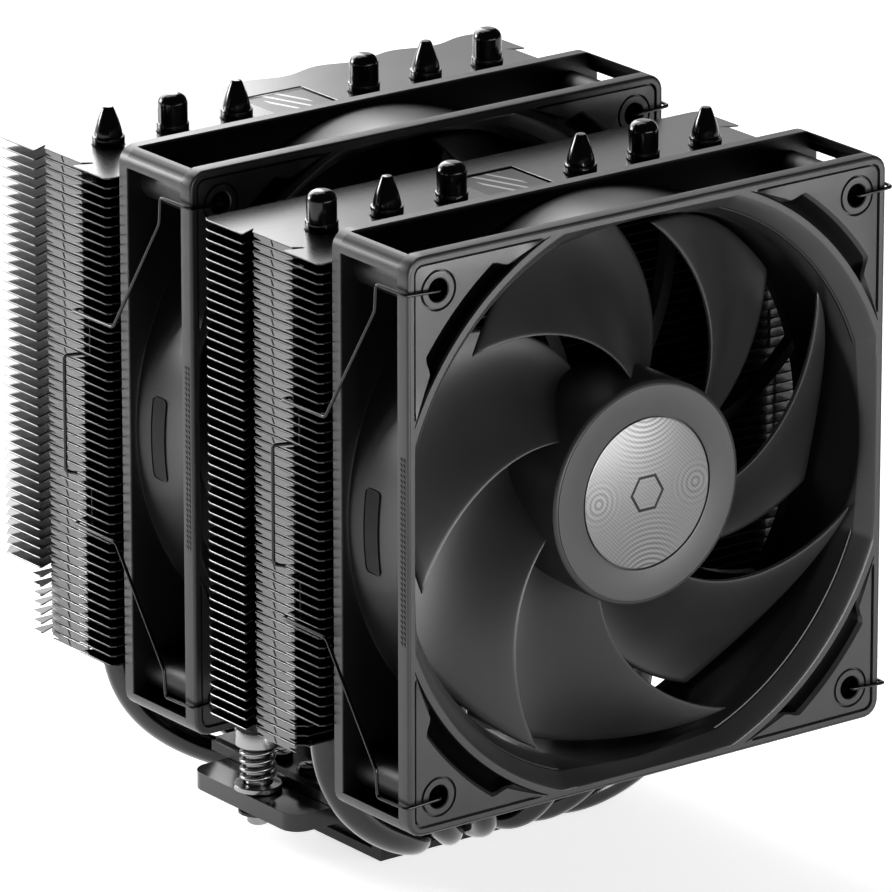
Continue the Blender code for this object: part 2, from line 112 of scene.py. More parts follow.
def quads_of(rows: int, columns: int, start: int, wrap_rows: bool, wrap_columns: bool) -> Array:
    """Number the four corners of every cell of a grid.

    Args:
        rows: Number of grid rows.
        columns: Number of grid columns.
        start: Number of the grid's first vertex.
        wrap_rows: Whether the last row joins the first one.
        wrap_columns: Whether the last column joins the first one.

    Returns:
        One line of four vertex numbers for each cell.
    """
    i, j = np.meshgrid(np.arange(rows if wrap_rows else rows - 1),
                       np.arange(columns if wrap_columns else columns - 1), indexing="ij")
    i, j = i.ravel(), j.ravel()
    down, right = (i + 1) % rows, (j + 1) % columns
    return start + np.stack((i * columns + j, i * columns + right,
                             down * columns + right, down * columns + j), axis=1)


@dataclass
class Shell:
    """Vertices and faces of one piece while it is being made, in millimetres."""

    points: list[Array] = field(default_factory=list)
    faces: list[list[int]] = field(default_factory=list)
    count: int = 0

    def sheet(self, grid: Array, wrap_rows: bool = False, wrap_columns: bool = False) -> "Shell":
        """Add a surface given as a grid of points.

        Args:
            grid: Points, rows by columns by three.
            wrap_rows: Whether the last row joins the first one.
            wrap_columns: Whether the last column joins the first one.

        Returns:
            The shell itself.
        """
        rows, columns = grid.shape[:2]
        self.points.append(grid.reshape(-1, 3))
        self.faces += quads_of(rows, columns, self.count, wrap_rows, wrap_columns).tolist()
        self.count += rows * columns
        return self

    def tube(self, grid: Array) -> "Shell":
        """Add a surface that is closed round its columns, with a flat face at each end."""
        rows, columns = grid.shape[:2]
        first, last = self.count, self.count + (rows - 1) * columns
        self.sheet(grid, wrap_columns=True)
        self.faces.append(list(range(first, first + columns)))
        self.faces.append(list(range(last, last + columns))[::-1])
        return self

    def prism(self, outlines: list[Array], heights: Array, thickness: float,
              bevel: float = 0.0) -> "Shell":
        """Add flat plates of one outline, one above another.

        The plate's two faces are the outline's triangles, and its rim is the ruled strip
        between the outline at the plate's two heights.  With a bevel, a second strip
        leads from the rim to an upper face that is smaller by the bevel.

        Args:
            outlines: Outer outline and then the holes, each points by two.
            heights: Lower face of each plate.
            thickness: Distance between a plate's two faces.
            bevel: Width of the upper face's bevel.

        Returns:
            The shell itself.
        """
        flat = np.concatenate(outlines)
        total = len(flat)
        triangles = np.array(tessellate_polygon(
            [[Vector((*p, 0.0)) for p in outline.tolist()] for outline in outlines]))
        starts = np.cumsum([0] + [len(outline) for outline in outlines])
        here = np.arange(total)
        there = np.concatenate([np.roll(np.arange(a, b), -1)
                                for a, b in zip(starts[:-1], starts[1:])])
        rim = np.stack((here, there, there + total, here + total), axis=1)
        layers = [(flat, 0.0), (flat, thickness - bevel)]
        if bevel > 0.0:
            inner = np.concatenate([inset(outline, bevel, number == 0)
                                    for number, outline in enumerate(outlines)])
            layers.append((inner, thickness))
        for height in np.atleast_1d(heights).tolist():
            self.points += [np.column_stack((plan, np.full(total, height + rise)))
                            for plan, rise in layers]
            self.faces += (triangles[:, ::-1] + self.count).tolist()
            for strip in range(len(layers) - 1):
                self.faces += (rim + self.count + strip * total).tolist()
            self.count += len(layers) * total
            self.faces += (triangles + self.count - total).tolist()
        return self

    def moved(self, matrix: Array, shift: Array) -> "Shell":
        """Turn every point by a 3 by 3 matrix and then shift it."""
        self.points = [np.concatenate(self.points) @ np.asarray(matrix).T + np.asarray(shift)]
        return self

    def merge(self, other: "Shell") -> "Shell":
        """Take over another shell's vertices and faces."""
        self.points += other.points
        self.faces += [[v + self.count for v in f] for f in other.faces]
        self.count += other.count
        return self

    def piece(self, name: str, finish: "Finish", smooth: float = SHARP) -> bpy.types.Object:
        """Write the shell to a new object, welded and facing outwards.

        Args:
            name: Name of the object.
            finish: What its surface is made of.
            smooth: Angle in degrees above which an edge stays sharp.

        Returns:
            The new object, at the origin.
        """
        mesh = bpy.data.meshes.new(name)
        mesh.from_pydata((np.concatenate(self.points) * MM).tolist(), [], self.faces)
        bm = bmesh.new()
        bm.from_mesh(mesh)
        bmesh.ops.remove_doubles(bm, verts=bm.verts[:], dist=2e-6)
        bmesh.ops.dissolve_degenerate(bm, edges=bm.edges[:], dist=1e-6)
        bmesh.ops.recalc_face_normals(bm, faces=bm.faces[:])
        bm.to_mesh(mesh)
        bm.free()
        smooth_faces(mesh, smooth)
        made = bpy.data.objects.new(name, mesh)
        bpy.context.scene.collection.objects.link(made)
        mesh.materials.append(finish.material())
        log.info("%s: %d faces", name, len(mesh.polygons))
        return made


def smooth_faces(mesh: bpy.types.Mesh, degrees: float) -> None:
    """Shade a mesh smooth, with edges above the angle left sharp."""
    mesh.shade_smooth()
    mesh.set_sharp_from_angle(angle=math.radians(degrees))


def carve(target: bpy.types.Object, tool: bpy.types.Object) -> None:
    """Cut one closed piece out of another and drop the tool.

    Faces of the tool that stay behind outside the piece's own box are dropped too.

    Args:
        target: The piece that is cut; it gets a new mesh.
        tool: The piece that is cut away.
    """
    before = np.array([vert.co[:] for vert in target.data.vertices])
    low, high = before.min(axis=0) - STRAY, before.max(axis=0) + STRAY
    step = target.modifiers.new("carve", "BOOLEAN")
    step.operation, step.solver, step.object = "DIFFERENCE", "EXACT", tool
    bpy.context.view_layer.update()
    cut = bpy.data.meshes.new_from_object(
        target.evaluated_get(bpy.context.evaluated_depsgraph_get()))
    target.modifiers.remove(step)
    rest = bmesh.new()
    rest.from_mesh(cut)
    after = np.array([vert.co[:] for vert in rest.verts])
    stray = np.any((after < low) | (after > high), axis=1)
    doomed = [vert for vert, out in zip(rest.verts[:], stray.tolist()) if out]
    bmesh.ops.delete(rest, geom=doomed, context="VERTS")
    rest.to_mesh(cut)
    rest.free()
    cut.name = target.data.name
    target.data = cut
    smooth_faces(cut, SHARP)
    bpy.data.objects.remove(tool, do_unlink=True)


def inset(outline: Array, width: float, outer: bool) -> Array:
    """Move an outline into the plate that it bounds.

    Each point moves by the width along the mean of its two edges' normals, which
    are turned towards the plate by the sign of the outline's area.

    Args:
        outline: Points by two.
        width: How far each point moves.
        outer: Whether it is the plate's outer outline and not a hole.

    Returns:
        The moved outline.
    """
    ahead = np.roll(outline, -1, axis=0) - outline
    area = np.sum(outline[:, 0] * np.roll(outline[:, 1], -1)
                  - outline[:, 1] * np.roll(outline[:, 0], -1))
    ahead /= np.linalg.norm(ahead, axis=1, keepdims=True)
    normal = np.column_stack((-ahead[:, 1], ahead[:, 0]))
    normal = normal + np.roll(normal, 1, axis=0)
    normal /= np.maximum(np.linalg.norm(normal, axis=1, keepdims=True), 0.3)
    return outline + width * normal * math.copysign(1.0, area if outer else -area)


def revolved(profile: Array, steps: int = 64) -> Array:
    """Turn a profile about the local Z axis.

    A point at radius r and height z becomes r cos a, r sin a, z for every angle a.

    Args:
        profile: Radius and height of each point, points by two.
        steps: Number of angles.

    Returns:
        Grid of points, profile by steps by three.
    """
    angle = np.arange(steps) * TAU / steps
    r, z = np.asarray(profile, float).T[:, :, None]
    return np.stack((r * np.cos(angle), r * np.sin(angle), z + 0.0 * angle), axis=2)


def swept(path: Array, radii: Array | float, sides: int, up: Array) -> Array:
    """Carry a circle along a path.

    At each point of the path the circle lies in the plane across the path's
    direction, spanned by the direction crossed with a fixed vector and by the
    cross product of the two.

    Args:
        path: Points of the centre line, points by three.
        radii: Radius at each point, or one for all of them.
        sides: Number of points round the circle.
        up: A vector that is nowhere parallel to the path.

    Returns:
        Grid of points, path by sides by three.
    """
    path = np.asarray(path, float)
    ahead = np.gradient(path, axis=0)
    ahead /= np.linalg.norm(ahead, axis=1, keepdims=True)
    across = np.cross(ahead, up)
    across /= np.linalg.norm(across, axis=1, keepdims=True)
    over = np.cross(across, ahead)
    angle = np.arange(sides) * TAU / sides
    reach = np.broadcast_to(np.asarray(radii, float), (len(path),))[:, None, None]
    return (path[:, None] + reach * (across[:, None] * np.cos(angle)[None, :, None]
                                     + over[:, None] * np.sin(angle)[None, :, None]))


def rounded_path(corners: Array, radius: float, per_bend: int = 7) -> Array:
    """Round the bends of a broken line with quadratic curves.

    Each bend runs from a point before the corner to one after it, with the corner
    as the curve's middle control point.

    Args:
        corners: Points of the broken line, points by three.
        radius: How far before and after a corner its bend starts and ends.
        per_bend: Number of points on each bend.

    Returns:
        Points of the rounded line.
    """
    corners = np.asarray(corners, float)
    legs = np.diff(corners, axis=0)
    length = np.linalg.norm(legs, axis=1, keepdims=True)
    ahead = legs / length
    before = corners[1:-1] - ahead[:-1] * np.minimum(radius, 0.45 * length[:-1])
    after = corners[1:-1] + ahead[1:] * np.minimum(radius, 0.45 * length[1:])
    t = np.linspace(0.0, 1.0, per_bend)[None, :, None]
    bends = ((1 - t) ** 2 * before[:, None] + 2 * t * (1 - t) * corners[1:-1][:, None]
             + t ** 2 * after[:, None])
    return np.concatenate((corners[:1], bends.reshape(-1, 3), corners[-1:]))


def rounded_outline(half_x: float, half_y: float, radius: float, per_corner: int = 8) -> Array:
    """Outline of a rectangle with round corners, anticlockwise, points by two."""
    turn = np.linspace(0.0, TAU / 4, per_corner + 1)
    angle = (np.arange(4)[:, None] * TAU / 4 + turn).ravel()
    sx = np.repeat([1, -1, -1, 1], per_corner + 1)
    sy = np.repeat([1, 1, -1, -1], per_corner + 1)
    return np.column_stack((sx * (half_x - radius) + radius * np.cos(angle),
                            sy * (half_y - radius) + radius * np.sin(angle)))


def circle(x: float, y: float, radius: float, count: int) -> Array:
    """Points of a circle, clockwise as a hole's outline runs, points by two."""
    angle = -np.arange(count) * TAU / count
    return np.column_stack((x + radius * np.cos(angle), y + radius * np.sin(angle)))


def round_square(theta: Array, half: float, corner: float) -> Array:
    """Distance from the centre to a round-cornered square, for each angle.

    On a flat side it is the half size over the larger of cosine and sine; where that
    lands past the corner's centre, it is the far crossing with the corner's circle.

    Args:
        theta: Angles in radians.
        half: Half the square's width.
        corner: Radius of its corners.

    Returns:
        One distance for each angle.
    """
    a, b = np.abs(np.cos(theta)), np.abs(np.sin(theta))
    straight = half / np.maximum(a, b)
    centre = half - corner
    along = centre * (a + b)
    arc = along + np.sqrt(np.maximum(along ** 2 - 2 * centre ** 2 + corner ** 2, 0.0))
    return np.where(straight * np.minimum(a, b) > centre, arc, straight)


def smoothstep(x: Array) -> Array:
    """Rise smoothly from 0 to 1 as x goes from 0 to 1."""
    x = np.clip(x, 0.0, 1.0)
    return x * x * (3.0 - 2.0 * x)


# ---------------------------------------------------------------- shader tools

@dataclass
class Value:
    """A shader socket that takes part in arithmetic."""

    graph: "Graph"
    socket: bpy.types.NodeSocket

    def _math(self, operation: str, *inputs: Any) -> "Value":
        """Add one Math node."""
        return self.graph.node("ShaderNodeMath", {"operation": operation},
                               dict(enumerate(inputs)))

    def __add__(self, other: Any) -> "Value":
        """Sum."""
        return self._math("ADD", self, other)

    def __radd__(self, other: Any) -> "Value":
        """Sum, the other way round."""
        return self._math("ADD", other, self)

    def __sub__(self, other: Any) -> "Value":
        """Difference."""
        return self._math("SUBTRACT", self, other)

    def __rsub__(self, other: Any) -> "Value":
        """Difference, the other way round."""
        return self._math("SUBTRACT", other, self)

    def __mul__(self, other: Any) -> "Value":
        """Product."""
        return self._math("MULTIPLY", self, other)

    def __rmul__(self, other: Any) -> "Value":
        """Product, the other way round."""
        return self._math("MULTIPLY", other, self)

    def __truediv__(self, other: Any) -> "Value":
        """Quotient."""
        return self._math("DIVIDE", self, other)

    def __pow__(self, other: Any) -> "Value":
        """Power."""
        return self._math("POWER", self, other)

    def __gt__(self, other: Any) -> "Value":
        """One where this is the larger, otherwise zero."""
        return self._math("GREATER_THAN", self, other)

    def __lt__(self, other: Any) -> "Value":
        """One where this is the smaller, otherwise zero."""
        return self._math("LESS_THAN", self, other)

    def sin(self) -> "Value":
        """Sine of the value in radians."""
        return self._math("SINE", self)

    def abs(self) -> "Value":
        """Size without its sign."""
        return self._math("ABSOLUTE", self)

    def fract(self) -> "Value":
        """What is left above the next whole number down."""
        return self._math("FRACT", self)

    def wave(self, width: float) -> "Value":
        """Triangle wave between 0 and the width."""
        return self._math("PINGPONG", self, width)

    def most(self, other: Any) -> "Value":
        """The larger of two values."""
        return self._math("MAXIMUM", self, other)

    def span(self, low: float, high: float, out_low: float, out_high: float) -> "Value":
        """Map one span of values to another and hold them at its ends."""
        return self.graph.node("ShaderNodeMapRange", {"clamp": True},
                               {0: self, 1: low, 2: high, 3: out_low, 4: out_high})


@dataclass
class Graph:
    """Node tree of one material, built by expressions."""

    material: bpy.types.Material

    def node(self, kind: str, settings: dict[str, Any] | None = None,
             inputs: dict[int | str, Any] | None = None, output: int | str = 0) -> Value:
        """Add a node.

        Args:
            kind: The node's type.
            settings: Its own settings, set before its sockets.
            inputs: Values or links of its sockets, by number or name.
            output: Which of its outputs is wanted.

        Returns:
            That output, as a value.
        """
        tree = self.material.node_tree
        made = tree.nodes.new(kind)
        for key, value in (settings or {}).items():
            if key == "stops":
                ramp = made.color_ramp
                while len(ramp.elements) < len(value):
                    ramp.elements.new(0.5)
                for element, (position, shade) in zip(ramp.elements, value):
                    element.position = position
                    element.color = (*shade, 1.0)
            else:
                setattr(made, key, value)
        for key, value in (inputs or {}).items():
            self.feed(made.inputs[key], value)
        return Value(self, made.outputs[output])

    def feed(self, socket: bpy.types.NodeSocket, value: Any) -> None:
        """Link a value to a socket, or set a plain number or colour on it."""
        if isinstance(value, Value):
            self.material.node_tree.links.new(value.socket, socket)
        else:
            socket.default_value = value

    def place(self) -> Value:
        """Object coordinates in metres."""
        return self.node("ShaderNodeTexCoord", output="Object")

    def split(self, vector: Value) -> tuple[Value, ...]:
        """X, Y and Z of a vector."""
        first = self.node("ShaderNodeSeparateXYZ", None, {0: vector})
        return tuple(Value(self, socket) for socket in first.socket.node.outputs)

    def axes(self) -> tuple[Value, ...]:
        """X, Y and Z of a point of the piece, in millimetres."""
        return tuple(part * 1000.0 for part in self.split(self.place()))

    def noise(self, scale: float, detail: float = 2.0,
              stretch: tuple[float, float, float] = (1.0, 1.0, 1.0)) -> Value:
        """Soft noise of about so many grains per metre along each axis."""
        where = self.node("ShaderNodeMapping", None,
                          {"Vector": self.place(), "Scale": stretch})
        return self.node("ShaderNodeTexNoise", None,
                         {"Vector": where, "Scale": scale, "Detail": detail})

    def blend(self, share: Any, first: Any, second: Any) -> Value:
        """Mix two colours by a share from 0 to 1."""
        return self.node("ShaderNodeMix", {"data_type": "RGBA"},
                         {0: share, 6: first, 7: second}, output=2)

    def bump(self, height: Any, strength: float, distance: float) -> Value:
        """Normal that follows a height, with its full step given in millimetres."""
        return self.node("ShaderNodeBump", None,
                         {"Height": height, "Strength": strength, "Distance": distance * MM})


def grey(level: float, warmth: float = 0.0) -> tuple[float, float, float, float]:
    """A near-grey colour, slightly warm or cool."""
    return (level * (1.0 + warmth), level, level * (1.0 - warmth), 1.0)


@dataclass(frozen=True)
class Finish:
    """A surface: its constants and how its look varies.

    Attributes:
        name: Name of the material.
        slot: The record's slot that it belongs to; not used.
        level: Mean brightness of its colour.
        metallic: Share of bare metal.
        roughness: Mean roughness.
        coat: Weight of a clear coat.
        grain: Grains per metre of its fine texture.
        depth: Height of that texture in millimetres.
        spread: How far roughness swings about its mean.
        warmth: Tint of the colour.
        specular: Strength of its mirror-like share where it isn't bare metal.
    """

    name: str
    slot: str
    level: float
    metallic: float
    roughness: float
    coat: float = 0.0
    grain: float = 2600.0
    depth: float = 0.02
    spread: float = 0.08
    warmth: float = 0.0
    specular: float = 0.5

    def material(self) -> bpy.types.Material:
        """The finish's material, made once."""
        if self.name in bpy.data.materials:
            return bpy.data.materials[self.name]
        made = bpy.data.materials.new(self.name)
        made.use_nodes = True
        shader = made.node_tree.nodes["Principled BSDF"]
        shader.inputs["Coat Weight"].default_value = self.coat
        shader.inputs["Coat Roughness"].default_value = 0.12
        shader.inputs["Metallic"].default_value = self.metallic
        shader.inputs["Specular IOR Level"].default_value = self.specular
        graph = Graph(made)
        for key, value in self.look(graph).items():
            graph.feed(shader.inputs[key], value)
        return made

    def tint(self, graph: Graph, cloud: Value, low: float, high: float) -> Value:
        """Colour that a noise moves between two shares of the mean brightness."""
        return graph.blend(cloud.span(0.3, 0.7, 0.0, 1.0),
                           grey(self.level * low, self.warmth),
                           grey(self.level * high, self.warmth))

    def look(self, graph: Graph) -> dict[str, Any]:
        """What varies over the surface, by socket name."""
        cloud = graph.noise(90.0, 3.0)
        fine = graph.noise(self.grain, 1.0)
        return {
            "Base Color": self.tint(graph, cloud, 0.88, 1.12),
            "Roughness": self.roughness + (cloud - 0.5) * self.spread
                         + (fine - 0.5) * self.spread * 0.5,
            "Normal": graph.bump(fine, 0.5, self.depth),
        }


@dataclass(frozen=True)
class RolledSheet(Finish):
    """Plated sheet metal with faint rolling lines along X and a bright upper edge, partly bare
    cut metal and partly a painted highlight.

    Attributes:
        rim: Brightness of the upright faces, where the sheet was cut or folded; on the tabs,
            brighter than the plated face, it is painted light.
        edge: Brightness of the bevel between rim and upper face, partly bare cut metal and partly
            a painted highlight.
    """

    rim: float = 0.05
    edge: float = 0.32

    def look(self, graph: Graph) -> dict[str, Any]:
        """Colour, roughness and normal of rolled sheet; rims and the upper bevel take their
        colour by slope, the bevel's brightness partly a painted highlight.
        """
        lines = graph.noise(900.0, 3.0, (0.04, 1.0, 1.0))
        cloud = graph.noise(45.0, 2.0)
        _, _, slope = graph.split(graph.node("ShaderNodeNewGeometry", output="True Normal"))
        upright = slope.abs() < 0.4
        # colour by slope: the bright bevel is partly bare cut metal and partly a painted
        # highlight where the edge catches light
        bare_edge_and_glint = (slope > 0.4) * (slope < 0.9)
        face = self.tint(graph, cloud, 0.9, 1.1)
        return {
            "Base Color": graph.blend(bare_edge_and_glint, graph.blend(upright, face, grey(self.rim)),
                                      grey(self.edge)),
            "Roughness": self.roughness + (lines - 0.5) * self.spread
                         + (cloud - 0.5) * self.spread + upright * 0.15 + bare_edge_and_glint * 0.2,
            "Normal": graph.bump(lines, 0.25, self.depth),
        }


@dataclass(frozen=True)
class TurnedMetal(Finish):
    """Metal with the fine rings that turning leaves along Z."""

    def look(self, graph: Graph) -> dict[str, Any]:
        """Colour, roughness and normal of turned metal."""
        rings = graph.noise(self.grain, 2.0, (0.05, 0.05, 1.0))
        cloud = graph.noise(160.0, 2.0)
        return {
            "Base Color": self.tint(graph, cloud, 0.85, 1.1),
            "Roughness": self.roughness + (rings - 0.5) * self.spread,
            "Normal": graph.bump(rings, 0.4, self.depth),
        }


@dataclass(frozen=True)
class FramePlastic(Finish):
    """Moulded plastic with a field of small triangles on the flanges' side faces, and painted
    shade in its holes, pockets and between its flanges.

    Attributes:
        strip_low: Lower end of the field.
        strip_high: Upper end of the field.
        pitch: Height of one row of triangles.
        column: Depth of one column of triangles.
        margin: Depth behind the front face at which the field starts.
        fronts: Y of the two fans' front faces.
        axis_z: Height of both fans' axes.
        hole: Distance of a screw hole from the axis along X and along Z.
        soot: Brightness of the painted shade in the screw holes, the pockets, the space between
            the flanges and the triangles' dents.
    """

    strip_low: float = 70.0
    strip_high: float = 109.3
    pitch: float = 1.12
    column: float = 0.95
    margin: float = 0.72
    fronts: tuple[float, float] = (-80.75, -8.15)
    axis_z: float = 90.0
    hole: float = 52.5
    soot: float = 0.0015

    def look(self, graph: Graph) -> dict[str, Any]:
        """Colour, roughness and normal, with the triangles on |X| near 60.

        A triangle is the part of its cell where the share upwards is over the share
        backwards less 0.12, inside a thin border at the cell's front and top.
        Screw holes, pockets, the space between the flanges and the dents get painted shade as
        well: near-black metal in place of their shadow.
        """
        base = super().look(graph)
        x, y, z = graph.axes()
        wide, up = x.abs(), z - self.axis_z
        high = up.abs()
        second = y > (self.fronts[0] + 40.0)
        down = y - self.fronts[0] - second * (self.fronts[1] - self.fronts[0])
        strip = ((wide > 59.9) * (z > self.strip_low) * (z < self.strip_high)
                 * (down > self.margin) * (down < self.margin + 2.0 * self.column))
        cell_y = ((down - self.margin) / self.column).fract()
        cell_z = ((z - self.strip_low) / self.pitch).fract()
        dent = ((cell_z - cell_y) > -0.12) * (cell_y > 0.06) * (cell_z < 0.94) * strip
        side_x, side_z = wide - self.hole, high - self.hole
        hole = ((side_x * side_x + side_z * side_z) < 6.3) * (down > 0.3)
        radius2 = x * x + up * up
        pocket = ((down > 0.8) * (down < 3.3) * (radius2 > 63.4 ** 2) * (radius2 < 4800.0)
                  * (wide < 58.0) * (high < 58.0))
        inner = (down > 3.3) * (down < 22.2) * (wide < 59.6) * (high < 59.6)
        # painted shade: these masks turn holes, pockets, the space between the flanges and the
        # dents near-black and metallic, in place of their shadow
        shade = hole.most(pocket * 0.85).most(inner * 0.5).most(dent * 0.9)
        base["Base Color"] = graph.blend(shade, base["Base Color"], grey(self.soot))
        base["Metallic"] = shade
        base["Normal"] = graph.bump(graph.noise(self.grain, 1.0) - dent * 6.0, 0.5, self.depth)
        return base


@dataclass(frozen=True)
class HubLabel(Finish):
    """Silver foil disc engraved with crossing families of fine rings.

    Attributes:
        centre_z: Height of the fan's axis.
        sources: Centre, ring spacing and reach of each group of rings.
        edge: Radius of the disc.
    """

    centre_z: float = 90.0
    sources: tuple[tuple[float, float, float, float], ...] = (
        (0.0, 21.0, 1.05, 9.5), (0.0, -21.0, 1.05, 9.5), (12.2, 0.0, 1.25, 4.2),
        (-12.2, 0.0, 1.25, 4.2))
    edge: float = 15.6

    def look(self, graph: Graph) -> dict[str, Any]:
        """Colour and roughness from groups of rings, fine lines and a plain hexagon.

        Each group is the sine of the distance to its own centre, and it fades out
        towards the label's middle.
        """
        x, _, z = graph.axes()
        height = z - self.centre_z
        weave = (((x + height) * 7.3).sin() + ((x - height) * 7.3).sin()) * 0.16
        for dx, dz, spacing, reach in self.sources:
            across, up = x - dx, height - dz
            radius = (across * across + up * up) ** 0.5
            fade = (radius - math.hypot(dx, dz) + self.edge).span(0.0, reach + 6.0, 1.0, 0.0)
            side = across.abs() if dx == 0.0 else up.abs()
            fade = fade * side.span(2.0, 8.5, 1.0, 0.15)
            weave = weave + (radius * (TAU / spacing)).sin() * fade * 0.75
        size = (x.abs() * 0.866 + height.abs() * 0.5).most(height.abs())
        mark = (size > 3.1) * (size < 3.7)
        shine = graph.blend(weave.span(-0.7, 0.7, 0.0, 1.0), grey(self.level * 0.42),
                            grey(self.level * 1.2))
        return {
            "Base Color": graph.blend(mark, shine, grey(0.01)),
            "Roughness": self.roughness + weave * 0.04,
        }


@dataclass(frozen=True)
class EmblemFoil(Finish):
    """Dark plate with thin plain stripes."""

    def look(self, graph: Graph) -> dict[str, Any]:
        """Colour and roughness of the striped plate."""
        x, y, _ = graph.axes()
        stripe = ((x + y * 0.35) / 1.6).wave(1.0)
        mark = (stripe > 0.72) * (x.abs() < 4.0)
        fine = graph.noise(self.grain, 1.0)
        return {
            "Base Color": graph.blend(mark, grey(self.level), grey(0.35)),
            "Roughness": self.roughness + (fine - 0.5) * self.spread,
            "Normal": graph.bump(fine, 0.4, self.depth),
        }


FIN = RolledSheet("plated_fin_sheet", "fin_black", 0.060, 1.0, 0.11, depth=0.0005, spread=0.02)
TOP = RolledSheet("plated_top_sheet", "fin_black", 0.085, 1.0, 0.25, depth=0.002, spread=0.04)
# painted light: the tabs' broad faces are upright, so rim=0.16 makes them lighter than the plated
# sheet, in place of the light they reflect
TAB = RolledSheet("plated_fin_tab", "fin_black", 0.055, 1.0, 0.26, depth=0.003, spread=0.05,
                  rim=0.16, edge=0.3)
PIPE = TurnedMetal("plated_pipe", "pipe_black", 0.030, 1.0, 0.16, coat=0.4, grain=1400.0,
                   depth=0.004, spread=0.06)
BAR = Finish("glossy_bar", "bar_black", 0.012, 0.4, 0.16, coat=0.25, grain=900.0, depth=0.004,
             spread=0.05)
BASE = Finish("plated_base", "base_black", 0.020, 0.85, 0.30, grain=1800.0, depth=0.008)
FRAME = FramePlastic("frame_plastic_moulded", "frame_plastic", 0.016, 0.0, 0.34, depth=0.010,
                     spread=0.05)
# painted shade: a darker, less glossy copy of the frame plastic for the posts and the spider,
# which sit in shadow between the flanges
FRAME_SHADED = Finish("frame_plastic_plain", "frame_plastic", 0.008, 0.0, 0.42, depth=0.02,
                     spread=0.06, specular=0.3)
BLADE = Finish("blade_plastic_satin", "blade_plastic", 0.012, 0.0, 0.40, grain=3200.0,
               depth=0.008, spread=0.05)
LABEL = HubLabel("hub_label_foil", "label_silver", 0.165, 0.7, 0.36)
STEEL = TurnedMetal("nickel_steel", "steel", 0.30, 1.0, 0.26, grain=5200.0, depth=0.006)
DARK_STEEL = Finish("black_steel", "dark_steel", 0.035, 1.0, 0.14, grain=4200.0, depth=0.004)
MAGNET = Finish("sintered_magnet", "magnet", 0.05, 0.3, 0.6, warmth=0.05)
BRONZE = TurnedMetal("sintered_bronze", "bronze", 0.30, 0.9, 0.38, warmth=0.35)
LAMINATE = TurnedMetal("stator_laminate", "laminate", 0.28, 0.8, 0.45, grain=2600.0, depth=0.03)
BOARD = Finish("board_resin", "board_green", 0.05, 0.0, 0.45)
EMBLEM = EmblemFoil("emblem_foil", "label_silver", 0.03, 0.8, 0.3)
BADGE = Finish("badge_gloss", "frame_plastic", 0.003, 1.0, 0.30, grain=1200.0, depth=0.002)


def dress(node: str, finish: Finish, nodes: dict[str, bpy.types.Object]) -> None:
    """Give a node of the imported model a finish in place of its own."""
    mesh = nodes[node].data
    mesh.materials.clear()
    mesh.materials.append(finish.material())


def show(made: bpy.types.Object, body: str, *stands_for: str) -> bpy.types.Object:
    """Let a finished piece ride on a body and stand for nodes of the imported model."""
    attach(made, body)
    if stands_for:
        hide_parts(*stands_for)
    return made


# ---------------------------------------------------------------- towers

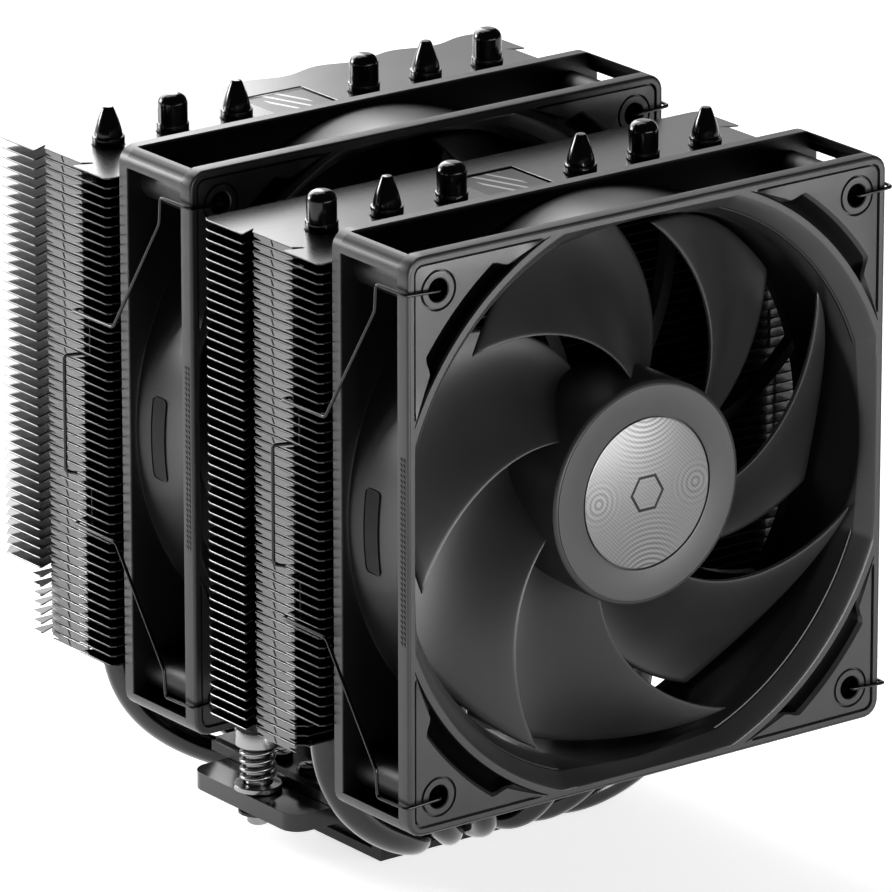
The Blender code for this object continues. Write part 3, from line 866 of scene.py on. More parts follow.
@dataclass
class FinTower:
    """One stack of thin fin sheets, held together by folded side tabs.

    Attributes:
        bay: Which tower it is.
        pitch_y: Distance between the two towers.
        top: Upper face of the top sheet.
        bottom: Lower face of the lowest sheet.
        sheets: Number of sheets.
        thick: Thickness of a sheet.
        burr: Width of the worn edge round its upper face.
        pipe_x: Distance of each pipe from the middle.
        pipe_y: Distance of the pipes from the origin along Y.
        bore: Radius of the holes for them.
        half: Half the width of a sheet.
        front: Y of a front-tower sheet's front edge.
        back: Y of its back edge.
        tab_x: Distance of the tabs' outer face from the middle.
        tab_front: Y of a tab's front end in the front tower.
        tab_back: Y of its back end.
        wave_pitch: Length of one wave of the rear tower's back edge.
        wave_crest: Y of its crests.
        wave_trough: Y of its troughs.
        short_front: Height below which a sheet has no front wings, and its front edge there.
        short_rear: Height below which a sheet has no wavy back edge, and its end there.
        window: Half width, front and back of the emblem's window.
    """

    bay: Bay
    pitch_y: float = 72.6
    top: float = 143.4
    bottom: float = 38.8
    sheets: int = 52
    thick: float = 0.28
    burr: float = 0.10
    pipe_x: tuple[float, ...] = (16.3, 32.4, 48.5)
    pipe_y: float = 36.85
    bore: float = 3.5
    half: float = 63.0
    front: float = -55.6
    back: float = -16.3
    tab_x: float = 60.35
    tab_front: float = -43.2
    tab_back: float = -30.3
    wave_pitch: float = 19.4
    wave_crest: float = 58.05
    wave_trough: float = 55.8
    short_front: tuple[float, float] = (46.5, -45.0)
    short_rear: tuple[float, float] = (51.5, 46.0)
    window: tuple[float, float, float] = (8.0, -40.2, -24.8)

    @property
    def shift(self) -> float:
        """How far the tower lies behind the first one."""
        return self.pitch_y * self.bay.row

    def edge(self) -> Array:
        """Left edge of a sheet, from its front to its back, points by two."""
        points = [(-59.6, self.front), (-61.75, self.front), (-61.95, -55.55), (-62.9, -54.95),
                  (-self.half, -54.7), (-62.95, -43.9), (-62.6, -43.62), (-59.06, -45.05),
                  (-58.5, -44.75), (-58.6, -44.3), (-60.4, -43.05), (-60.4, -29.9),
                  (-58.9, -28.2), (-62.6, -29.95), (-62.95, -29.7), (-62.95, -18.2),
                  (-62.75, -17.3), (-62.2, -16.6), (-61.4, self.back)]
        return np.array(points) + (0.0, self.shift)

    def outline(self, cut_front: bool, cut_back: bool) -> Array:
        """Plan of one sheet.

        The rear tower's back edge is a cosine of the sheet's X, between its trough
        and its crest.

        Args:
            cut_front: Whether the sheet ends behind its front wings.
            cut_back: Whether the sheet ends before its wavy back edge.

        Returns:
            The outline, anticlockwise, points by two.
        """
        left = self.edge()
        if cut_front:
            left = np.concatenate(([(-58.0, self.short_front[1])], left[8:]))
        rear = np.zeros((0, 2))
        if cut_back:
            left = np.concatenate((left[:-4], [(-62.9, self.short_rear[1])]))
        elif self.bay is Bay.MIDDLE:
            left = np.concatenate((left[:-4], [(-62.95, 54.4), (-62.7, 55.5), (-61.9, 56.2)]))
            x = np.linspace(-60.6, 60.6, 85)
            mid = (self.wave_crest + self.wave_trough) / 2
            swing = (self.wave_crest - self.wave_trough) / 2
            rear = np.column_stack((x, mid + swing * np.cos(TAU * x / self.wave_pitch)))
        right = left[::-1] * (-1.0, 1.0)
        return np.concatenate((left, rear, right))[::-1]

    def bores(self) -> list[Array]:
        """Holes for the six pipes."""
        y = self.pipe_y * (1 if self.bay is Bay.MIDDLE else -1)
        return [circle(s * x, y, self.bore, 12) for x in self.pipe_x for s in (-1, 1)]

    def levels(self) -> Array:
        """Lower face of every sheet."""
        return np.linspace(self.bottom, self.top - self.thick, self.sheets)

    def build(self) -> None:
        """Make the sheets and the tabs in place of the coarse stack."""
        levels = self.levels()
        low_front = (self.bay is Bay.FRONT) & (levels < self.short_front[0])
        low_back = (self.bay is Bay.MIDDLE) & (levels < self.short_rear[0])
        plain = ~(low_front | low_back)
        shell = Shell()
        for chosen, cut_front, cut_back in ((plain[:-1], False, False),
                                            (low_front[:-1], True, False),
                                            (low_back[:-1], False, True)):
            if chosen.any():
                shell.prism([self.outline(cut_front, cut_back)] + self.bores(),
                            levels[:-1][chosen], self.thick, self.burr)
        word = "front" if self.bay is Bay.FRONT else "rear"
        show(shell.piece(f"fin_sheets_{word}", FIN), "cooler", f"fin_stack_{word}")
        self.top_sheet(word)
        self.side_tabs(word)

    def top_sheet(self, word: str) -> None:
        """The top sheet, with its window for the emblem."""
        wide, near, far = self.window
        near, far = near + self.shift, far + self.shift
        hole = np.array([(-wide, near), (-wide, far), (wide, far), (wide, near)])
        shell = Shell().prism([self.outline(False, False), hole] + self.bores(),
                              self.top - self.thick, self.thick, self.burr)
        show(shell.piece(f"fin_top_sheet_{word}", TOP), "cooler")

    def side_tabs(self, word: str) -> None:
        """Folded tabs: upright plates with a slanted slot and a notch in each end."""
        gap, plate = 0.34, 0.4
        pitch = (self.top - self.thick - self.bottom) / (self.sheets - 1)
        tall, deep = pitch - gap, self.tab_back - self.tab_front
        outline = np.array([(0.0, -tall), (0.0, -0.86 * tall), (1.7, -0.78 * tall),
                            (2.1, -0.68 * tall), (0.0, -0.50 * tall), (0.0, 0.0), (deep, 0.0),
                            (deep, -0.52 * tall), (deep - 2.0, -0.66 * tall),
                            (deep - 2.3, -0.74 * tall), (deep - 1.9, -0.84 * tall),
                            (deep, -0.94 * tall), (deep, -tall)])[::-1]
        slot = np.array([(0.535, -0.10), (0.578, -0.10), (0.520, -0.86), (0.477, -0.86)]) \
            * (deep, tall)
        flat = Shell().prism([outline, slot], 0.0, plate)
        base = np.concatenate(flat.points)
        shell = Shell()
        for side in Side:
            grid = np.stack((side.value * (self.tab_x - plate + base[:, 2]),
                             base[:, 0] + self.tab_front + self.shift, base[:, 1]), axis=1)
            for level in (self.levels() + self.thick - 0.02).tolist():
                shell.merge(Shell([grid + (0.0, 0.0, level)], flat.faces, len(grid)))
        show(shell.piece(f"fin_tabs_{word}", TAB), "cooler")


# ---------------------------------------------------------------- heat pipes

@dataclass
class HeatPipes:
    """Six U-shaped pipes that spread from the base to both towers.

    Each leg is a cubic Bezier curve from the base's edge to under the fins and a
    straight run up to its tip.

    Attributes:
        radius: Radius of a pipe.
        base_x: Distance of each pipe from the middle in the base.
        tower_x: Distance of each pipe from the middle in the towers.
        base_z: Height of the pipes in the base.
        reach_y: How far out the curve's second control point lies, for each pipe.
        rise_z: Height of its third control point, for each pipe.
        pipe_y: Distance of the upright runs from the origin.
        start_y: Where the curve leaves the base.
        fin_z: Height at which the upright run starts.
        tip_z: Height of the tips.
    """

    radius: float = 3.0
    base_x: tuple[float, ...] = (3.5, 10.5, 17.5)
    tower_x: tuple[float, ...] = (16.3, 32.4, 48.5)
    base_z: float = 4.6
    reach_y: tuple[float, ...] = (40.5, 38.5, 36.0)
    rise_z: tuple[float, ...] = (20.0, 17.0, 12.0)
    pipe_y: float = 36.85
    start_y: float = 24.3
    fin_z: float = 37.5
    tip_z: float = 151.6

    def tip(self, kind: Tip) -> Array:
        """Height above the tip's top, below zero, and radius of each station."""
        collar = [(-8.02, 3.0), (-8.0, 3.3), (-7.9, 3.36), (-6.35, 3.36), (-6.22, 3.28)]
        if kind is Tip.DOME:
            t = np.linspace(0.0, TAU / 4, 10)
            crown = np.column_stack((-2.2 + 2.15 * np.sin(t), 0.95 + 2.13 * np.cos(t)))
            return np.concatenate((collar, [(-6.18, 3.08)], crown, [(0.0, 0.12)]))
        return np.array(collar + [(-6.15, 2.92), (-5.9, 2.92), (-4.9, 2.74), (-3.0, 2.2),
                                  (-1.0, 1.47), (-0.35, 1.2), (-0.08, 0.95), (0.0, 0.12)])

    def leg(self, side: int, rank: int, end: int, kind: Tip) -> tuple[Array, Array]:
        """Centre line and radii of half a pipe, from the base to its tip.

        Args:
            side: Sign of the pipe's X.
            rank: Place from the middle outwards.
            end: Sign of the leg's Y.
            kind: Shape of the leg's tip.

        Returns:
            Points of the centre line and the radius at each of them.
        """
        bx, tx = side * self.base_x[rank], side * self.tower_x[rank]
        control = np.array([(bx, end * self.start_y, self.base_z),
                            (bx, end * self.reach_y[rank], self.base_z),
                            (tx, end * self.pipe_y, self.rise_z[rank]),
                            (tx, end * self.pipe_y, self.fin_z)])
        t = np.linspace(0.0, 1.0, 40)[:, None]
        bend = ((1 - t) ** 3 * control[0] + 3 * (1 - t) ** 2 * t * control[1]
                + 3 * (1 - t) * t ** 2 * control[2] + t ** 3 * control[3])
        shape = self.tip(kind)
        rise = np.column_stack((np.full(len(shape), tx), np.full(len(shape), end * self.pipe_y),
                                self.tip_z + shape[:, 0]))
        return (np.concatenate((bend, rise)),
                np.concatenate((np.full(len(bend), self.radius), shape[:, 1])))

    def build(self) -> None:
        """Make the six pipes."""
        ranks = [(-1, 2), (-1, 1), (-1, 0), (1, 0), (1, 1), (1, 2)]
        for number, (side, rank) in enumerate(ranks):
            kinds = (Tip.DOME, Tip.TAPER) if number % 2 == 0 else (Tip.TAPER, Tip.DOME)
            front, front_r = self.leg(side, rank, -1, kinds[0])
            back, back_r = self.leg(side, rank, 1, kinds[1])
            path = np.concatenate((front[::-1], back))
            grid = swept(path, np.concatenate((front_r[::-1], back_r)), 32, (1.0, 0.0, 0.0))
            name = f"heat_pipe_{number + 1}"
            show(Shell().tube(grid).piece(f"pipe_run_{number + 1}", PIPE), "cooler", name)


# ---------------------------------------------------------------- fans

@dataclass
class Fan:
    """One axial fan: square frame, spider, impeller and hub label.

    Sizes run from the fan's front face backwards as depth, and from its axis
    outwards as radius.

    Attributes:
        bay: Which fan it is.
        pitch_y: Distance between the two fans.
        front_y: Y of the front fan's front face.
        centre_z: Height of the axis.
        half: Half the frame's width.
        depth: Depth of the frame.
        hole: Distance of a screw hole from the axis along X and along Z.
        corner: Radius of the frame's corners.
        bore: Inner radius of the duct.
        duct: Outer radius of the duct.
        lip_in: Inner radius of the bell mouth's lip.
        lip_out: Outer radius of that lip.
        field: Half size of the square that lip and pockets stay inside.
        bell: Depth of the bell mouth.
        front_flange: Thickness of the front flange.
        rear_flange: Thickness of the rear flange.
        pocket_out: Outer radius of the pockets beside the corner plates.
        pocket_deep: Depth of those pockets.
        hub: Radius of the hub.
        blades: Number of blades.
        blade_tip: Radius of the blades' tips.
        first_blade: Angle of the first blade's leading edge at its tip, in degrees.
    """

    bay: Bay
    pitch_y: float = 72.6
    front_y: float = -80.75
    centre_z: float = 90.0
    half: float = 60.0
    depth: float = 25.0
    hole: float = 52.5
    corner: float = 3.5
    bore: float = 56.6
    duct: float = 58.4
    lip_in: float = 62.2
    lip_out: float = 63.5
    field: float = 58.35
    bell: float = 7.0
    front_flange: float = 3.5
    rear_flange: float = 3.0
    pocket_out: float = 68.2
    pocket_deep: float = 3.2
    hub: float = 23.35
    blades: int = 7
    blade_tip: float = 55.6
    first_blade: float = 88.0

    @property
    def face_y(self) -> float:
        """Y of the fan's front face."""
        return self.front_y + self.pitch_y * self.bay.row

    @property
    def word(self) -> str:
        """The bay's label."""
        return self.bay.word

    def world(self, shell: Shell) -> Shell:
        """Turn a shell built with its depth along +Z so that depth runs along +Y."""
        return shell.moved(np.array([(1, 0, 0), (0, 0, 1), (0, 1, 0)]),
                           (0.0, self.face_y, self.centre_z))

    def angles(self) -> Array:
        """Angles round the axis, with extra ones where outlines meet."""
        even = np.linspace(0.0, TAU, 480, endpoint=False)
        tip = math.acos(self.field / self.lip_out)
        quarter = np.arange(4) * TAU / 4
        extra = np.concatenate([quarter + s * a for s in (1, -1)
                                for a in (tip, tip + 0.004, tip + 0.012)])
        return np.unique(np.round(np.concatenate((even, extra % TAU)), 6))

    def frame_rows(self, theta: Array) -> list[tuple[Array, Array]]:
        """Radius and depth of every line that runs round the frame.

        The bell mouth is a cone with rounded ends between bore and lip.  Lip, pocket,
        corner plate, groove and rim follow outwards; each is a circle or a round-cornered
        square, and where the lip's circle leaves the square they close up to nothing.

        Args:
            theta: Angles round the axis.

        Returns:
            Pairs of radius and depth arrays, from the bore round to the bore.
        """
        zero = np.zeros_like(theta)
        limit = round_square(theta, self.field, 2.4)
        lip_in, lip_out = np.minimum(self.lip_in, limit), np.minimum(self.lip_out, limit)
        off = np.abs((np.degrees(theta) % 90.0) - 45.0)
        bulge = (self.pocket_out - 65.2) * (1.0 - smoothstep((off - 9.6) / 2.6))
        tail = np.clip((22.2 - off) / 10.0, 0.0, 1.0)
        pocket = np.minimum(lip_out + 0.12 + 1.45 * tail ** 1.3 + bulge, limit)
        pocket = np.where(lip_out >= limit - 1e-6, lip_out, pocket)
        depth = np.where(pocket > lip_out + 0.02,
                         0.9 + (self.pocket_deep - 0.9) * (1.0 - smoothstep((off - 10.5) / 3.0)),
                         0.0)
        groove_mask = np.clip((round_square(theta, 57.9, 1.6) - pocket) / 0.5, 0.0, 1.0)
        rows: list[tuple[Array, Array]] = []
        narrow = (lip_in - self.bore) / (self.lip_in - self.bore)
        for out, down in ((0.0, 1.0), (0.02, 0.93), (0.07, 0.85), (0.16, 0.74), (0.33, 0.56),
                          (0.55, 0.355), (0.76, 0.165), (0.88, 0.07), (0.95, 0.022), (1.0, 0.0)):
            rows.append((self.bore + (lip_in - self.bore) * out,
                         self.bell * narrow ** 0.6 * down))
        rows.append((np.minimum(lip_in + 0.05, lip_out), zero))
        rows.append((lip_out - 0.03, zero))
        rows.append((lip_out, zero + np.minimum(0.06, depth)))
        for t in np.linspace(0.0, 1.0, 8):
            rows.append((lip_out + 0.01 + (pocket - lip_out) * t,
                         depth * (1.0 - t ** 1.7)))
        plate_rows = ((55.6, 1.2, 0.0), (57.9, 1.6, 0.22), (57.95, 1.6, 1.2), (58.4, 2.0, 1.2),
                      (58.45, 2.0, 0.0))
        for half, round_by, down in plate_rows:
            rows.append((np.maximum(round_square(theta, half, round_by), pocket + 0.01),
                         down * groove_mask))
        outer = ((59.35, 3.0, 0.0), (59.40, 3.05, 0.08), (59.48, 3.1, 0.0), (59.72, 3.3, 0.06),
                 (59.92, 3.45, 0.26), (60.0, 3.5, 0.6))
        for half, round_by, down in outer:
            rows.append((round_square(theta, half, round_by), zero + down))
        back = self.depth - self.rear_flange
        flange = round_square(theta, self.half, self.corner)
        inner = self.duct + zero
        for radius, down in ((flange, self.front_flange - 0.15),
                             (flange - 0.15, self.front_flange), (inner + 0.5, self.front_flange),
                             (inner + 0.12, self.front_flange + 0.15),
                             (inner, self.front_flange + 0.5), (inner, back - 0.5),
                             (inner + 0.12, back - 0.15), (inner + 0.5, back),
                             (flange - 0.15, back), (flange, back + 0.15),
                             (flange, self.depth - 0.3), (flange - 0.3, self.depth),
                             (inner - 1.3, self.depth)):
            rows.append((radius, zero + down))
        for down in np.linspace(self.depth - 0.5, self.bell + 0.5, 4):
            rows.append((self.bore + zero, zero + down))
        return rows

    def build_frame(self) -> None:
        """Make the frame: moulding, corner webs, bosses and spider."""
        theta = self.angles()
        rows = self.frame_rows(theta)
        radius = np.stack([r for r, _ in rows])
        down = np.stack([d for _, d in rows])
        grid = np.stack((radius * np.cos(theta), radius * np.sin(theta), down), axis=2)
        body = self.world(Shell().sheet(grid, True, True)).piece(
            f"{self.word}_frame_moulding", FRAME)
        carve(body, self.hole_tools())
        show(body, "cooler", f"{self.word}_fan_frame")
        show(self.world(self.corner_webs()).piece(f"{self.word}_frame_webs", FRAME), "cooler")
        show(self.world(self.bosses()).piece(f"{self.word}_frame_posts", FRAME_SHADED), "cooler")
        show(self.world(self.spider()).piece(f"{self.word}_frame_spider", FRAME_SHADED), "cooler")

    def hole_places(self) -> list[tuple[float, float, float]]:
        """Axes of the four screw holes."""
        return [(sx * self.hole, sz * self.hole, 0.0) for sx in (-1, 1) for sz in (-1, 1)]

    def hole_tools(self) -> bpy.types.Object:
        """Cutters for the four screw holes and the ring groove round each of them."""
        shell = Shell()
        bore = revolved(np.array([(2.6, -1.0), (2.6, -0.001), (2.4, 0.2), (2.4, 30.0)]), 40)
        groove = revolved(np.array([(3.75, -1.0), (4.3, -1.0), (4.3, 1.1), (3.75, 1.1)]), 48)
        for place in self.hole_places():
            shell.tube(bore + place)
            shell.sheet(groove + place, True, True)
        return self.world(shell).piece("hole_tools", FRAME)

    def bosses(self) -> Shell:
        """Hollow posts between the flanges at the screw holes."""
        low, high = self.front_flange - 0.5, self.depth - self.rear_flange + 0.5
        ring = revolved(np.array([(4.2, low), (4.2, high), (2.38, high), (2.38, low)]), 40)
        shell = Shell()
        for place in self.hole_places():
            shell.sheet(ring + place, True, True)
        return shell

    def corner_arc(self, start: float, end: float) -> Array:
        """Part of a frame corner's quarter circle, between two shares of it."""
        turn = np.linspace(TAU / 4 * start, TAU / 4 * end, 12)
        centre = self.half - self.corner
        return np.column_stack((centre + self.corner * np.cos(turn),
                                centre + self.corner * np.sin(turn)))

    def corner_webs(self) -> Shell:
        """Walls that join the flanges: beside the upper corners and under the lower ones."""
        low, high = self.front_flange - 0.4, self.depth - self.rear_flange + 0.4
        upper = np.concatenate(([(60.0, 56.0)], self.corner_arc(0.0, 0.84),
                                [(57.4, 58.4), (58.2, 57.4), (58.2, 56.0)]))
        lower = np.concatenate((self.corner_arc(0.02, 1.0), [(16.0, 60.0), (16.0, 58.5),
                                                             (56.3, 58.5), (58.3, 57.2)])) \
            * (1.0, -1.0)
        shell = Shell()
        for outline in (upper, lower):
            for mirror in (1.0, -1.0):
                shell.prism([outline * (mirror, 1.0)], low, high - low)
        return shell

    def spider(self) -> Shell:
        """Motor plate and seven curved struts behind the impeller.

        A strut is a box whose centre line bows from the plate's rim to the duct wall.
        """
        low, high = self.depth - 3.2, self.depth - 0.2
        shell = Shell()
        shell.sheet(revolved(np.array([(4.4, low), (22.2, low), (22.5, low + 0.3),
                                       (22.5, high - 0.3), (22.2, high), (4.4, high)]), 96),
                    True, True)
        shell.sheet(revolved(np.array([(4.4, 7.0), (5.4, 7.0), (5.4, low + 0.5),
                                       (4.4, low + 0.5)]), 40), True, True)
        share = np.linspace(0.0, 1.0, 14)
        radius = 22.0 + (57.3 - 22.0) * share
        bow = math.radians(16.0) * share ** 1.4
        half = (1.5 - 0.35 * share) / radius
        for k in range(7):
            centre = TAU * k / 7 + bow
            corners = [(radius, centre - half, low + 0.2), (radius, centre + half, low + 0.2),
                       (radius, centre + half, high), (radius, centre - half, high)]
            grid = np.stack([np.stack((r * np.cos(a), r * np.sin(a), np.full_like(r, d)), axis=1)
                             for r, a, d in corners], axis=1)
            shell.tube(grid)
        return shell

    def blade(self, across: Array, along: Array) -> tuple[Array, Array, Array]:
        """Radius, angle in radians and depth on a blade's middle surface.

        The leading edge falls back 47 degrees from tip to root, the chord spans 42
        degrees at the root and 50 at the tip, and the depth rises as a power of the
        sine from the leading edge to the trailing one.

        Args:
            across: 0 at the root to 1 at the tip.
            along: 0 at the leading edge to 1 at the trailing edge.

        Returns:
            The three arrays.
        """
        radius = (self.hub - 1.0) + (self.blade_tip - self.hub + 1.0) * across
        leading = self.first_blade - 47.0 * (1.0 - across)
        wrap = 42.0 + 8.0 * across
        depth = (4.5 - 2.3 * across) + (14.0 + across) * np.sin(TAU / 4 * along) ** 1.15
        return radius, np.radians(leading - wrap * along), depth

    def impeller(self) -> Shell:
        """Cup-shaped hub with swept blades.

        A blade's section runs along one skin and back along the other; the skins lie
        half the thickness before and behind the middle surface, less near the edges,
        where they round off as an ellipse.
        """
        shell = Shell()
        cup = np.array([(1.8, 6.5), (3.2, 6.5), (3.2, 2.8), (21.7, 2.8), (21.7, 19.0),
                        (23.0, 19.0), (self.hub, 18.7), (self.hub, 1.55), (23.2, 1.2),
                        (22.62, 0.78), (22.5, 0.74), (22.44, 0.86), (22.36, 0.86), (22.3, 0.7),
                        (16.3, 0.7), (16.0, 0.8), (16.0, 1.4), (1.8, 1.4)])
        shell.sheet(revolved(cup, 128), True, True)
        t = np.linspace(0.0, 1.0, 34)
        along = 0.5 - 0.5 * np.cos(t * TAU / 2)
        loop = np.concatenate((along, along[::-1][1:-1]))
        skin = np.concatenate((np.full(len(along), 1.0), np.full(len(along) - 2, -1.0)))
        rounded = 0.022
        inward = np.clip(1.0 - np.minimum(loop, 1.0 - loop) / rounded, 0.0, 1.0)
        edge = np.sqrt(np.clip(1.0 - inward ** 2, 0.0, 1.0))
        across = np.concatenate(([0.0], np.linspace(0.02, 0.985, 26), [0.996, 1.0]))
        a, b = np.meshgrid(across, loop, indexing="ij")
        radius, angle, depth = self.blade(a, b)
        thick = (0.72 - 0.12 * a) * edge * np.where(a > 0.99, np.where(a > 0.998, 0.05, 0.7), 1.0)
        depth = depth + 0.65 + skin * thick
        for k in range(self.blades):
            turn = angle + TAU * k / self.blades
            grid = np.stack((radius * np.cos(turn), radius * np.sin(turn), depth), axis=2)
            shell.tube(grid)
        return shell

    def build(self) -> None:
        """Make the whole fan."""
        self.build_frame()
        rotor = f"{self.word}_rotor"
        show(self.world(self.impeller()).piece(f"{self.word}_impeller_moulding", BLADE, 38.0),
             rotor, f"{self.word}_impeller")
        disc = revolved(np.array([(0.0, 1.1), (15.3, 1.1), (15.6, 1.0), (15.6, 0.75),
                                  (0.0, 0.75)]) * (1.0, -1.0) + (0.0, 1.85), 96)
        show(self.world(Shell().sheet(disc, wrap_columns=True)).piece(
            f"{self.word}_label_disc", LABEL), rotor, f"{self.word}_hub_label")
        self.badge()

    def badge(self) -> None:
        """Pill-shaped gloss inlays on both sides of the duct.

        An inlay is a strip of the duct's cylinder, a little proud of it, whose width
        at each height is that of a round-cornered bar, with a thin bead round it.
        """
        tall, wide, round_by, bead, middle = 8.75, 2.3, 1.1, 0.16, 14.3
        down = np.unique(np.concatenate((np.linspace(-tall, tall, 31),
                                         tall - round_by + np.linspace(0.0, round_by, 7),
                                         round_by - tall - np.linspace(0.0, round_by, 7))))
        spare = np.clip(np.abs(down) - (tall - round_by), 0.0, round_by)
        half = wide - round_by + np.sqrt(np.maximum(round_by ** 2 - spare ** 2, 0.0))
        height, share = np.meshgrid(down, np.linspace(-1.0, 1.0, 7), indexing="ij")
        depth = middle + share * half[:, None]
        shell = Shell()
        for mirror in (-1.0, 1.0):
            skins = [np.stack((mirror * np.sqrt((self.duct + lift) ** 2 - height ** 2), height,
                               depth), axis=2) for lift in (0.12, -0.3)]
            shell.sheet(np.concatenate((skins[0], skins[1][:, ::-1]), axis=1),
                        wrap_columns=True)
            rim = np.concatenate((skins[0][:, 0], skins[0][::-1, -1]))
            shell.tube(swept(np.concatenate((rim, rim[:2])), bead, 6, (mirror, 0.02, 0.01)))
        show(self.world(shell).piece(f"{self.word}_frame_badges", BADGE), "cooler")


# ---------------------------------------------------------------- wire clips

@dataclass
class WireClip:
    """Sprung wire that hooks two screw holes of a fan and snaps behind the fins.

    Attributes:
        bay: Which fan it holds.
        side: Which side of the fan it is on.
        pitch_y: Distance between the two fans.
        middle_z: Height that the wire is mirrored about.
        radius: Radius of the wire.
        path: Corners of its upper half on the right side of the front fan.
    """

    bay: Bay
    side: Side
    pitch_y: float = 72.6
    middle_z: float = 90.0
    radius: float = 0.37
    path: tuple[tuple[float, float, float], ...] = (
        (52.5, -77.6, 142.5), (52.5, -81.45, 142.6), (60.6, -81.5, 143.0),
        (61.0, -80.8, 143.1), (61.2, -72.1, 143.2), (61.4, -72.0, 137.7),
        (63.9, -58.8, 113.0), (63.9, -44.3, 112.9), (61.6, -43.5, 112.6),
        (59.5, -44.5, 112.0), (59.5, -44.5, 103.2), (63.9, -41.1, 102.5))

    def build(self) -> None:
        """Make the wire from its upper hook to its lower one."""
        top = np.array(self.path)
        low = top[::-1] * (1.0, 1.0, -1.0) + (0.0, 0.0, 2.0 * self.middle_z)
        corners = np.concatenate((top, low)) * (self.side.value, 1.0, 1.0)
        line = rounded_path(corners + (0.0, self.pitch_y * self.bay.row, 0.0), 0.9)
        grid = swept(line, self.radius, 14, (0.57 * self.side.value, -0.57, 0.59))
        name = f"{self.bay.word}_clip_{self.side.word}"
        show(Shell().tube(grid).piece(f"{name}_wire", DARK_STEEL), "cooler", name)


# ---------------------------------------------------------------- base

@dataclass
class Base:
    """Crossbar with round corners and two holes, and the finishes of the other base nodes.

    Attributes:
        bar_x: Half the bar's length.
        bar_y: Half its width.
        bottom: Height of its lower face.
        top: Height of its upper face.
        corner: Radius of its corners.
        hole_x: Distance of the screw holes from the middle.
        hole: Radius of those holes.
    """

    bar_x: float = 43.0
    bar_y: float = 18.3
    bottom: float = 8.2
    top: float = 12.0
    corner: float = 4.0
    hole_x: float = 38.6
    hole: float = 3.15

    def build(self, nodes: dict[str, bpy.types.Object]) -> None:
        """Make the bar and dress the other parts of the base."""
        holes = [circle(s * self.hole_x, 0.0, self.hole, 40) for s in (-1, 1)]
        shell = Shell().prism([rounded_outline(self.bar_x, self.bar_y, self.corner, 12)] + holes,
                              self.bottom, self.top - self.bottom)
        bar = shell.piece("crossbar", BAR)
        round_off = bar.modifiers.new("edges", "BEVEL")
        round_off.width, round_off.segments = 0.35 * MM, 3
        round_off.limit_method, round_off.angle_limit = "ANGLE", math.radians(60.0)
        show(bar, "cooler", "mounting_bar")
        for node in ("cold_plate", "pipe_clamp_block", "base_cap"):
            dress(node, BASE, nodes)
        for node in [n for n in nodes if n.startswith("cap_screw")]:
            dress(node, DARK_STEEL, nodes)


@dataclass
class SpringScrew:
    """Hollow-headed steel screw, with its spring, washer and retaining clip.

    Attributes:
        side: Which end of the bar it is at.
        place_x: Distance of its axis from the middle.
        coil: Radius of the spring's centre line.
        wire: Radius of the spring's wire.
        turns: Number of the spring's turns.
        coil_low: Height of the centre line's lower end.
        coil_high: Height of its upper end.
    """

    side: Side
    place_x: float = 38.6
    coil: float = 3.35
    wire: float = 0.48
    turns: float = 4.0
    coil_low: float = 13.98
    coil_high: float = 21.1

    def build(self, nodes: dict[str, bpy.types.Object]) -> None:
        """Make the screw, the spring and the washer on this side of the bar."""
        place = (self.side.value * self.place_x, 0.0, 0.0)
        word = self.side.word
        profile = np.array([(0.0, 23.2), (2.55, 23.2), (2.65, 23.35), (3.1, 25.3), (3.25, 25.45),
                            (4.25, 25.5), (4.5, 25.42), (4.65, 25.1), (4.65, 21.95), (4.55, 21.8),
                            (4.35, 21.7), (2.6, 21.7), (2.6, 7.75), (1.9, 7.75), (1.9, 6.75),
                            (2.3, 6.75), (2.3, 4.9), (1.9, 4.5), (0.0, 4.5)])
        screw = Shell().sheet(revolved(profile, 72) + place, wrap_columns=True)
        show(screw.piece(f"screw_body_{word}", STEEL), f"{word}_screw", f"spring_screw_{word}")
        ring = np.array([(3.1, 13.3), (4.9, 13.3), (5.05, 13.15), (5.05, 12.3), (4.9, 12.15),
                         (3.1, 12.15)])
        washer = Shell().sheet(revolved(ring, 64) + place, True, True)
        show(washer.piece(f"washer_ring_{word}", STEEL), "cooler", f"spring_washer_{word}")
        turn = np.linspace(0.0, TAU * self.turns, 145)
        rise = (self.coil_high - self.coil_low) * turn / (TAU * self.turns)
        line = np.stack((self.coil * np.cos(turn), self.coil * np.sin(turn),
                         self.coil_low + rise), axis=1) + place
        spring = Shell().tube(swept(line, self.wire, 12, (0.0, 0.0, 1.0))).piece(
            f"spring_coil_{word}", STEEL)
        show(spring, "cooler", f"spring_{word}")
        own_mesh(spring)
        dress(f"retaining_clip_{word}", DARK_STEEL, nodes)


# ---------------------------------------------------------------- studio

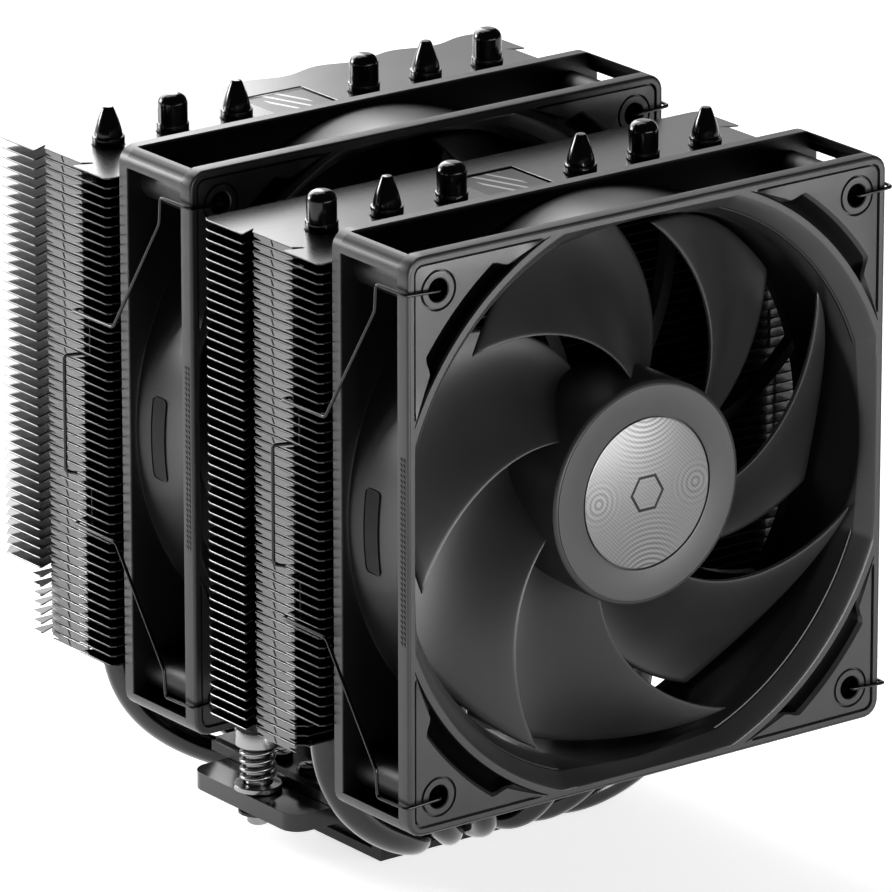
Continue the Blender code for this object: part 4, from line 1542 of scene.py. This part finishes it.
@dataclass
class Studio:
    """Floor, lights and camera.

    Attributes:
        target: The point that the camera looks at.
        distance: The camera's distance from it.
        azimuth: Angle of the camera about Z from -Y, in degrees.
        elevation: Its angle above the floor, in degrees.
        lens: Focal length.
        shift: Shift of the lens along the picture's two axes.
    """

    target: tuple[float, float, float] = (0.352, -18.48, 86.09)
    distance: float = 1874.3
    azimuth: float = -37.02
    elevation: float = 18.37
    lens: float = 369.83
    shift: tuple[float, float] = (-0.01887, -0.0139)

    def direction(self, azimuth: float, elevation: float) -> Vector:
        """Unit vector towards a place seen from the object, angles in degrees."""
        az, el = math.radians(azimuth), math.radians(elevation)
        return Vector((math.sin(az) * math.cos(el), -math.cos(az) * math.cos(el), math.sin(el)))

    def camera(self) -> None:
        """Set the camera at its place, looking at the target."""
        data = bpy.data.cameras.new("camera")
        data.lens, data.sensor_width = self.lens, 36.0
        data.shift_x, data.shift_y = self.shift
        data.clip_start, data.clip_end = 0.05, 50.0
        made = bpy.data.objects.new("camera", data)
        away = self.direction(self.azimuth, self.elevation)
        made.location = (Vector(self.target) + away * self.distance) * MM
        made.rotation_euler = away.to_track_quat("Z", "Y").to_euler()
        bpy.context.scene.collection.objects.link(made)
        bpy.context.scene.camera = made

    def panel(self, name: str, place: tuple[float, float, float],
              aim: tuple[float, float, float], size: tuple[float, float],
              power: float) -> None:
        """Add one soft rectangular light.

        Args:
            name: Name of the light.
            place: Its centre, in metres.
            aim: The point it faces, in metres.
            size: Its width and height in metres.
            power: Its power in watts.
        """
        data = bpy.data.lights.new(name, "AREA")
        data.shape = "RECTANGLE"
        data.size, data.size_y, data.energy = size[0], size[1], power
        made = bpy.data.objects.new(name, data)
        made.location = place
        away = (Vector(place) - Vector(aim)).normalized()
        made.rotation_euler = away.to_track_quat("Z", "Y").to_euler()
        bpy.context.scene.collection.objects.link(made)

    def floor(self) -> None:
        """Pale sweep that rises into a backdrop.

        Its profile is flat, then a quarter circle, then upright, carried along X.
        """
        half, near, flat, bend, high, below = 6.0, -6.0, 4.0, 1.5, 5.0, 0.0002
        turn = np.linspace(0.0, TAU / 4, 16)
        run = np.concatenate(([near], flat + bend * np.sin(turn), [flat + bend]))
        rise = np.concatenate(([0.0], bend - bend * np.cos(turn), [high])) - below
        grid = np.stack((np.tile((-half, half), (len(run), 1)), np.tile(run[:, None], (1, 2)),
                         np.tile(rise[:, None], (1, 2))), axis=2)
        mesh = bpy.data.meshes.new("floor")
        mesh.from_pydata(grid.reshape(-1, 3).tolist(), [],
                         quads_of(len(run), 2, 0, False, False).tolist())
        mesh.shade_smooth()
        made = bpy.data.objects.new("floor", mesh)
        bpy.context.scene.collection.objects.link(made)
        paper = bpy.data.materials.new("floor_paper")
        paper.use_nodes = True
        shader = paper.node_tree.nodes["Principled BSDF"]
        shader.inputs["Base Color"].default_value = (0.86, 0.86, 0.86, 1.0)
        shader.inputs["Roughness"].default_value = 0.9
        shader.inputs["Emission Color"].default_value = (1.0, 1.0, 1.0, 1.0)
        shader.inputs["Emission Strength"].default_value = 0.7
        mesh.materials.append(paper)

    def build(self) -> None:
        """Make the world, the floor, the lights and the camera."""
        world = bpy.data.worlds.new("studio")
        world.use_nodes = True
        background = world.node_tree.nodes["Background"]
        background.inputs["Color"].default_value = (1.0, 1.0, 1.0, 1.0)
        background.inputs["Strength"].default_value = 0.03
        bpy.context.scene.world = world
        self.floor()
        self.camera()
        self.panel("back_panel", (0.05, 0.42, 0.36), (0.0, 0.0, 0.14), (0.45, 0.30), 1.9)
        self.panel("rear_panel", (-0.41, 0.71, 0.30), (0.0, 0.0, 0.10), (0.25, 0.25), 5.0)
        self.panel("front_panel", (0.10, -0.72, 0.10), (0.0, -0.08, 0.07), (0.70, 0.16), 5.0)
        self.panel("floor_panel", (0.3, 1.4, 1.9), (0.2, 0.7, 0.0), (1.6, 1.6), 20.0)
        bpy.context.scene.view_settings.view_transform = "Standard"


# ---------------------------------------------------------------- whole

def dress_motors(nodes: dict[str, bpy.types.Object]) -> None:
    """Give every shown node of the two motors and the emblems its finish."""
    finishes = {"rotor_yoke": DARK_STEEL, "rotor_magnet": MAGNET, "shaft": STEEL,
                "bearing_sleeve": BRONZE, "stator": LAMINATE, "circuit_board": BOARD}
    for bay in Bay:
        for part, finish in finishes.items():
            dress(f"{bay.word}_{part}", finish, nodes)
    for word in ("front", "rear"):
        dress(f"emblem_plate_{word}", EMBLEM, nodes)


def main() -> None:
    """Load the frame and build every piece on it."""
    logging.basicConfig(level=logging.INFO, format="%(message)s")
    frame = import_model()
    nodes = frame["nodes"]
    for bay in Bay:
        FinTower(bay).build()
        Fan(bay).build()
        for side in Side:
            WireClip(bay, side).build()
    HeatPipes().build()
    Base().build(nodes)
    for side in Side:
        SpringScrew(side).build(nodes)
    dress_motors(nodes)
    Studio().build()


if __name__ == "__main__":
    main()
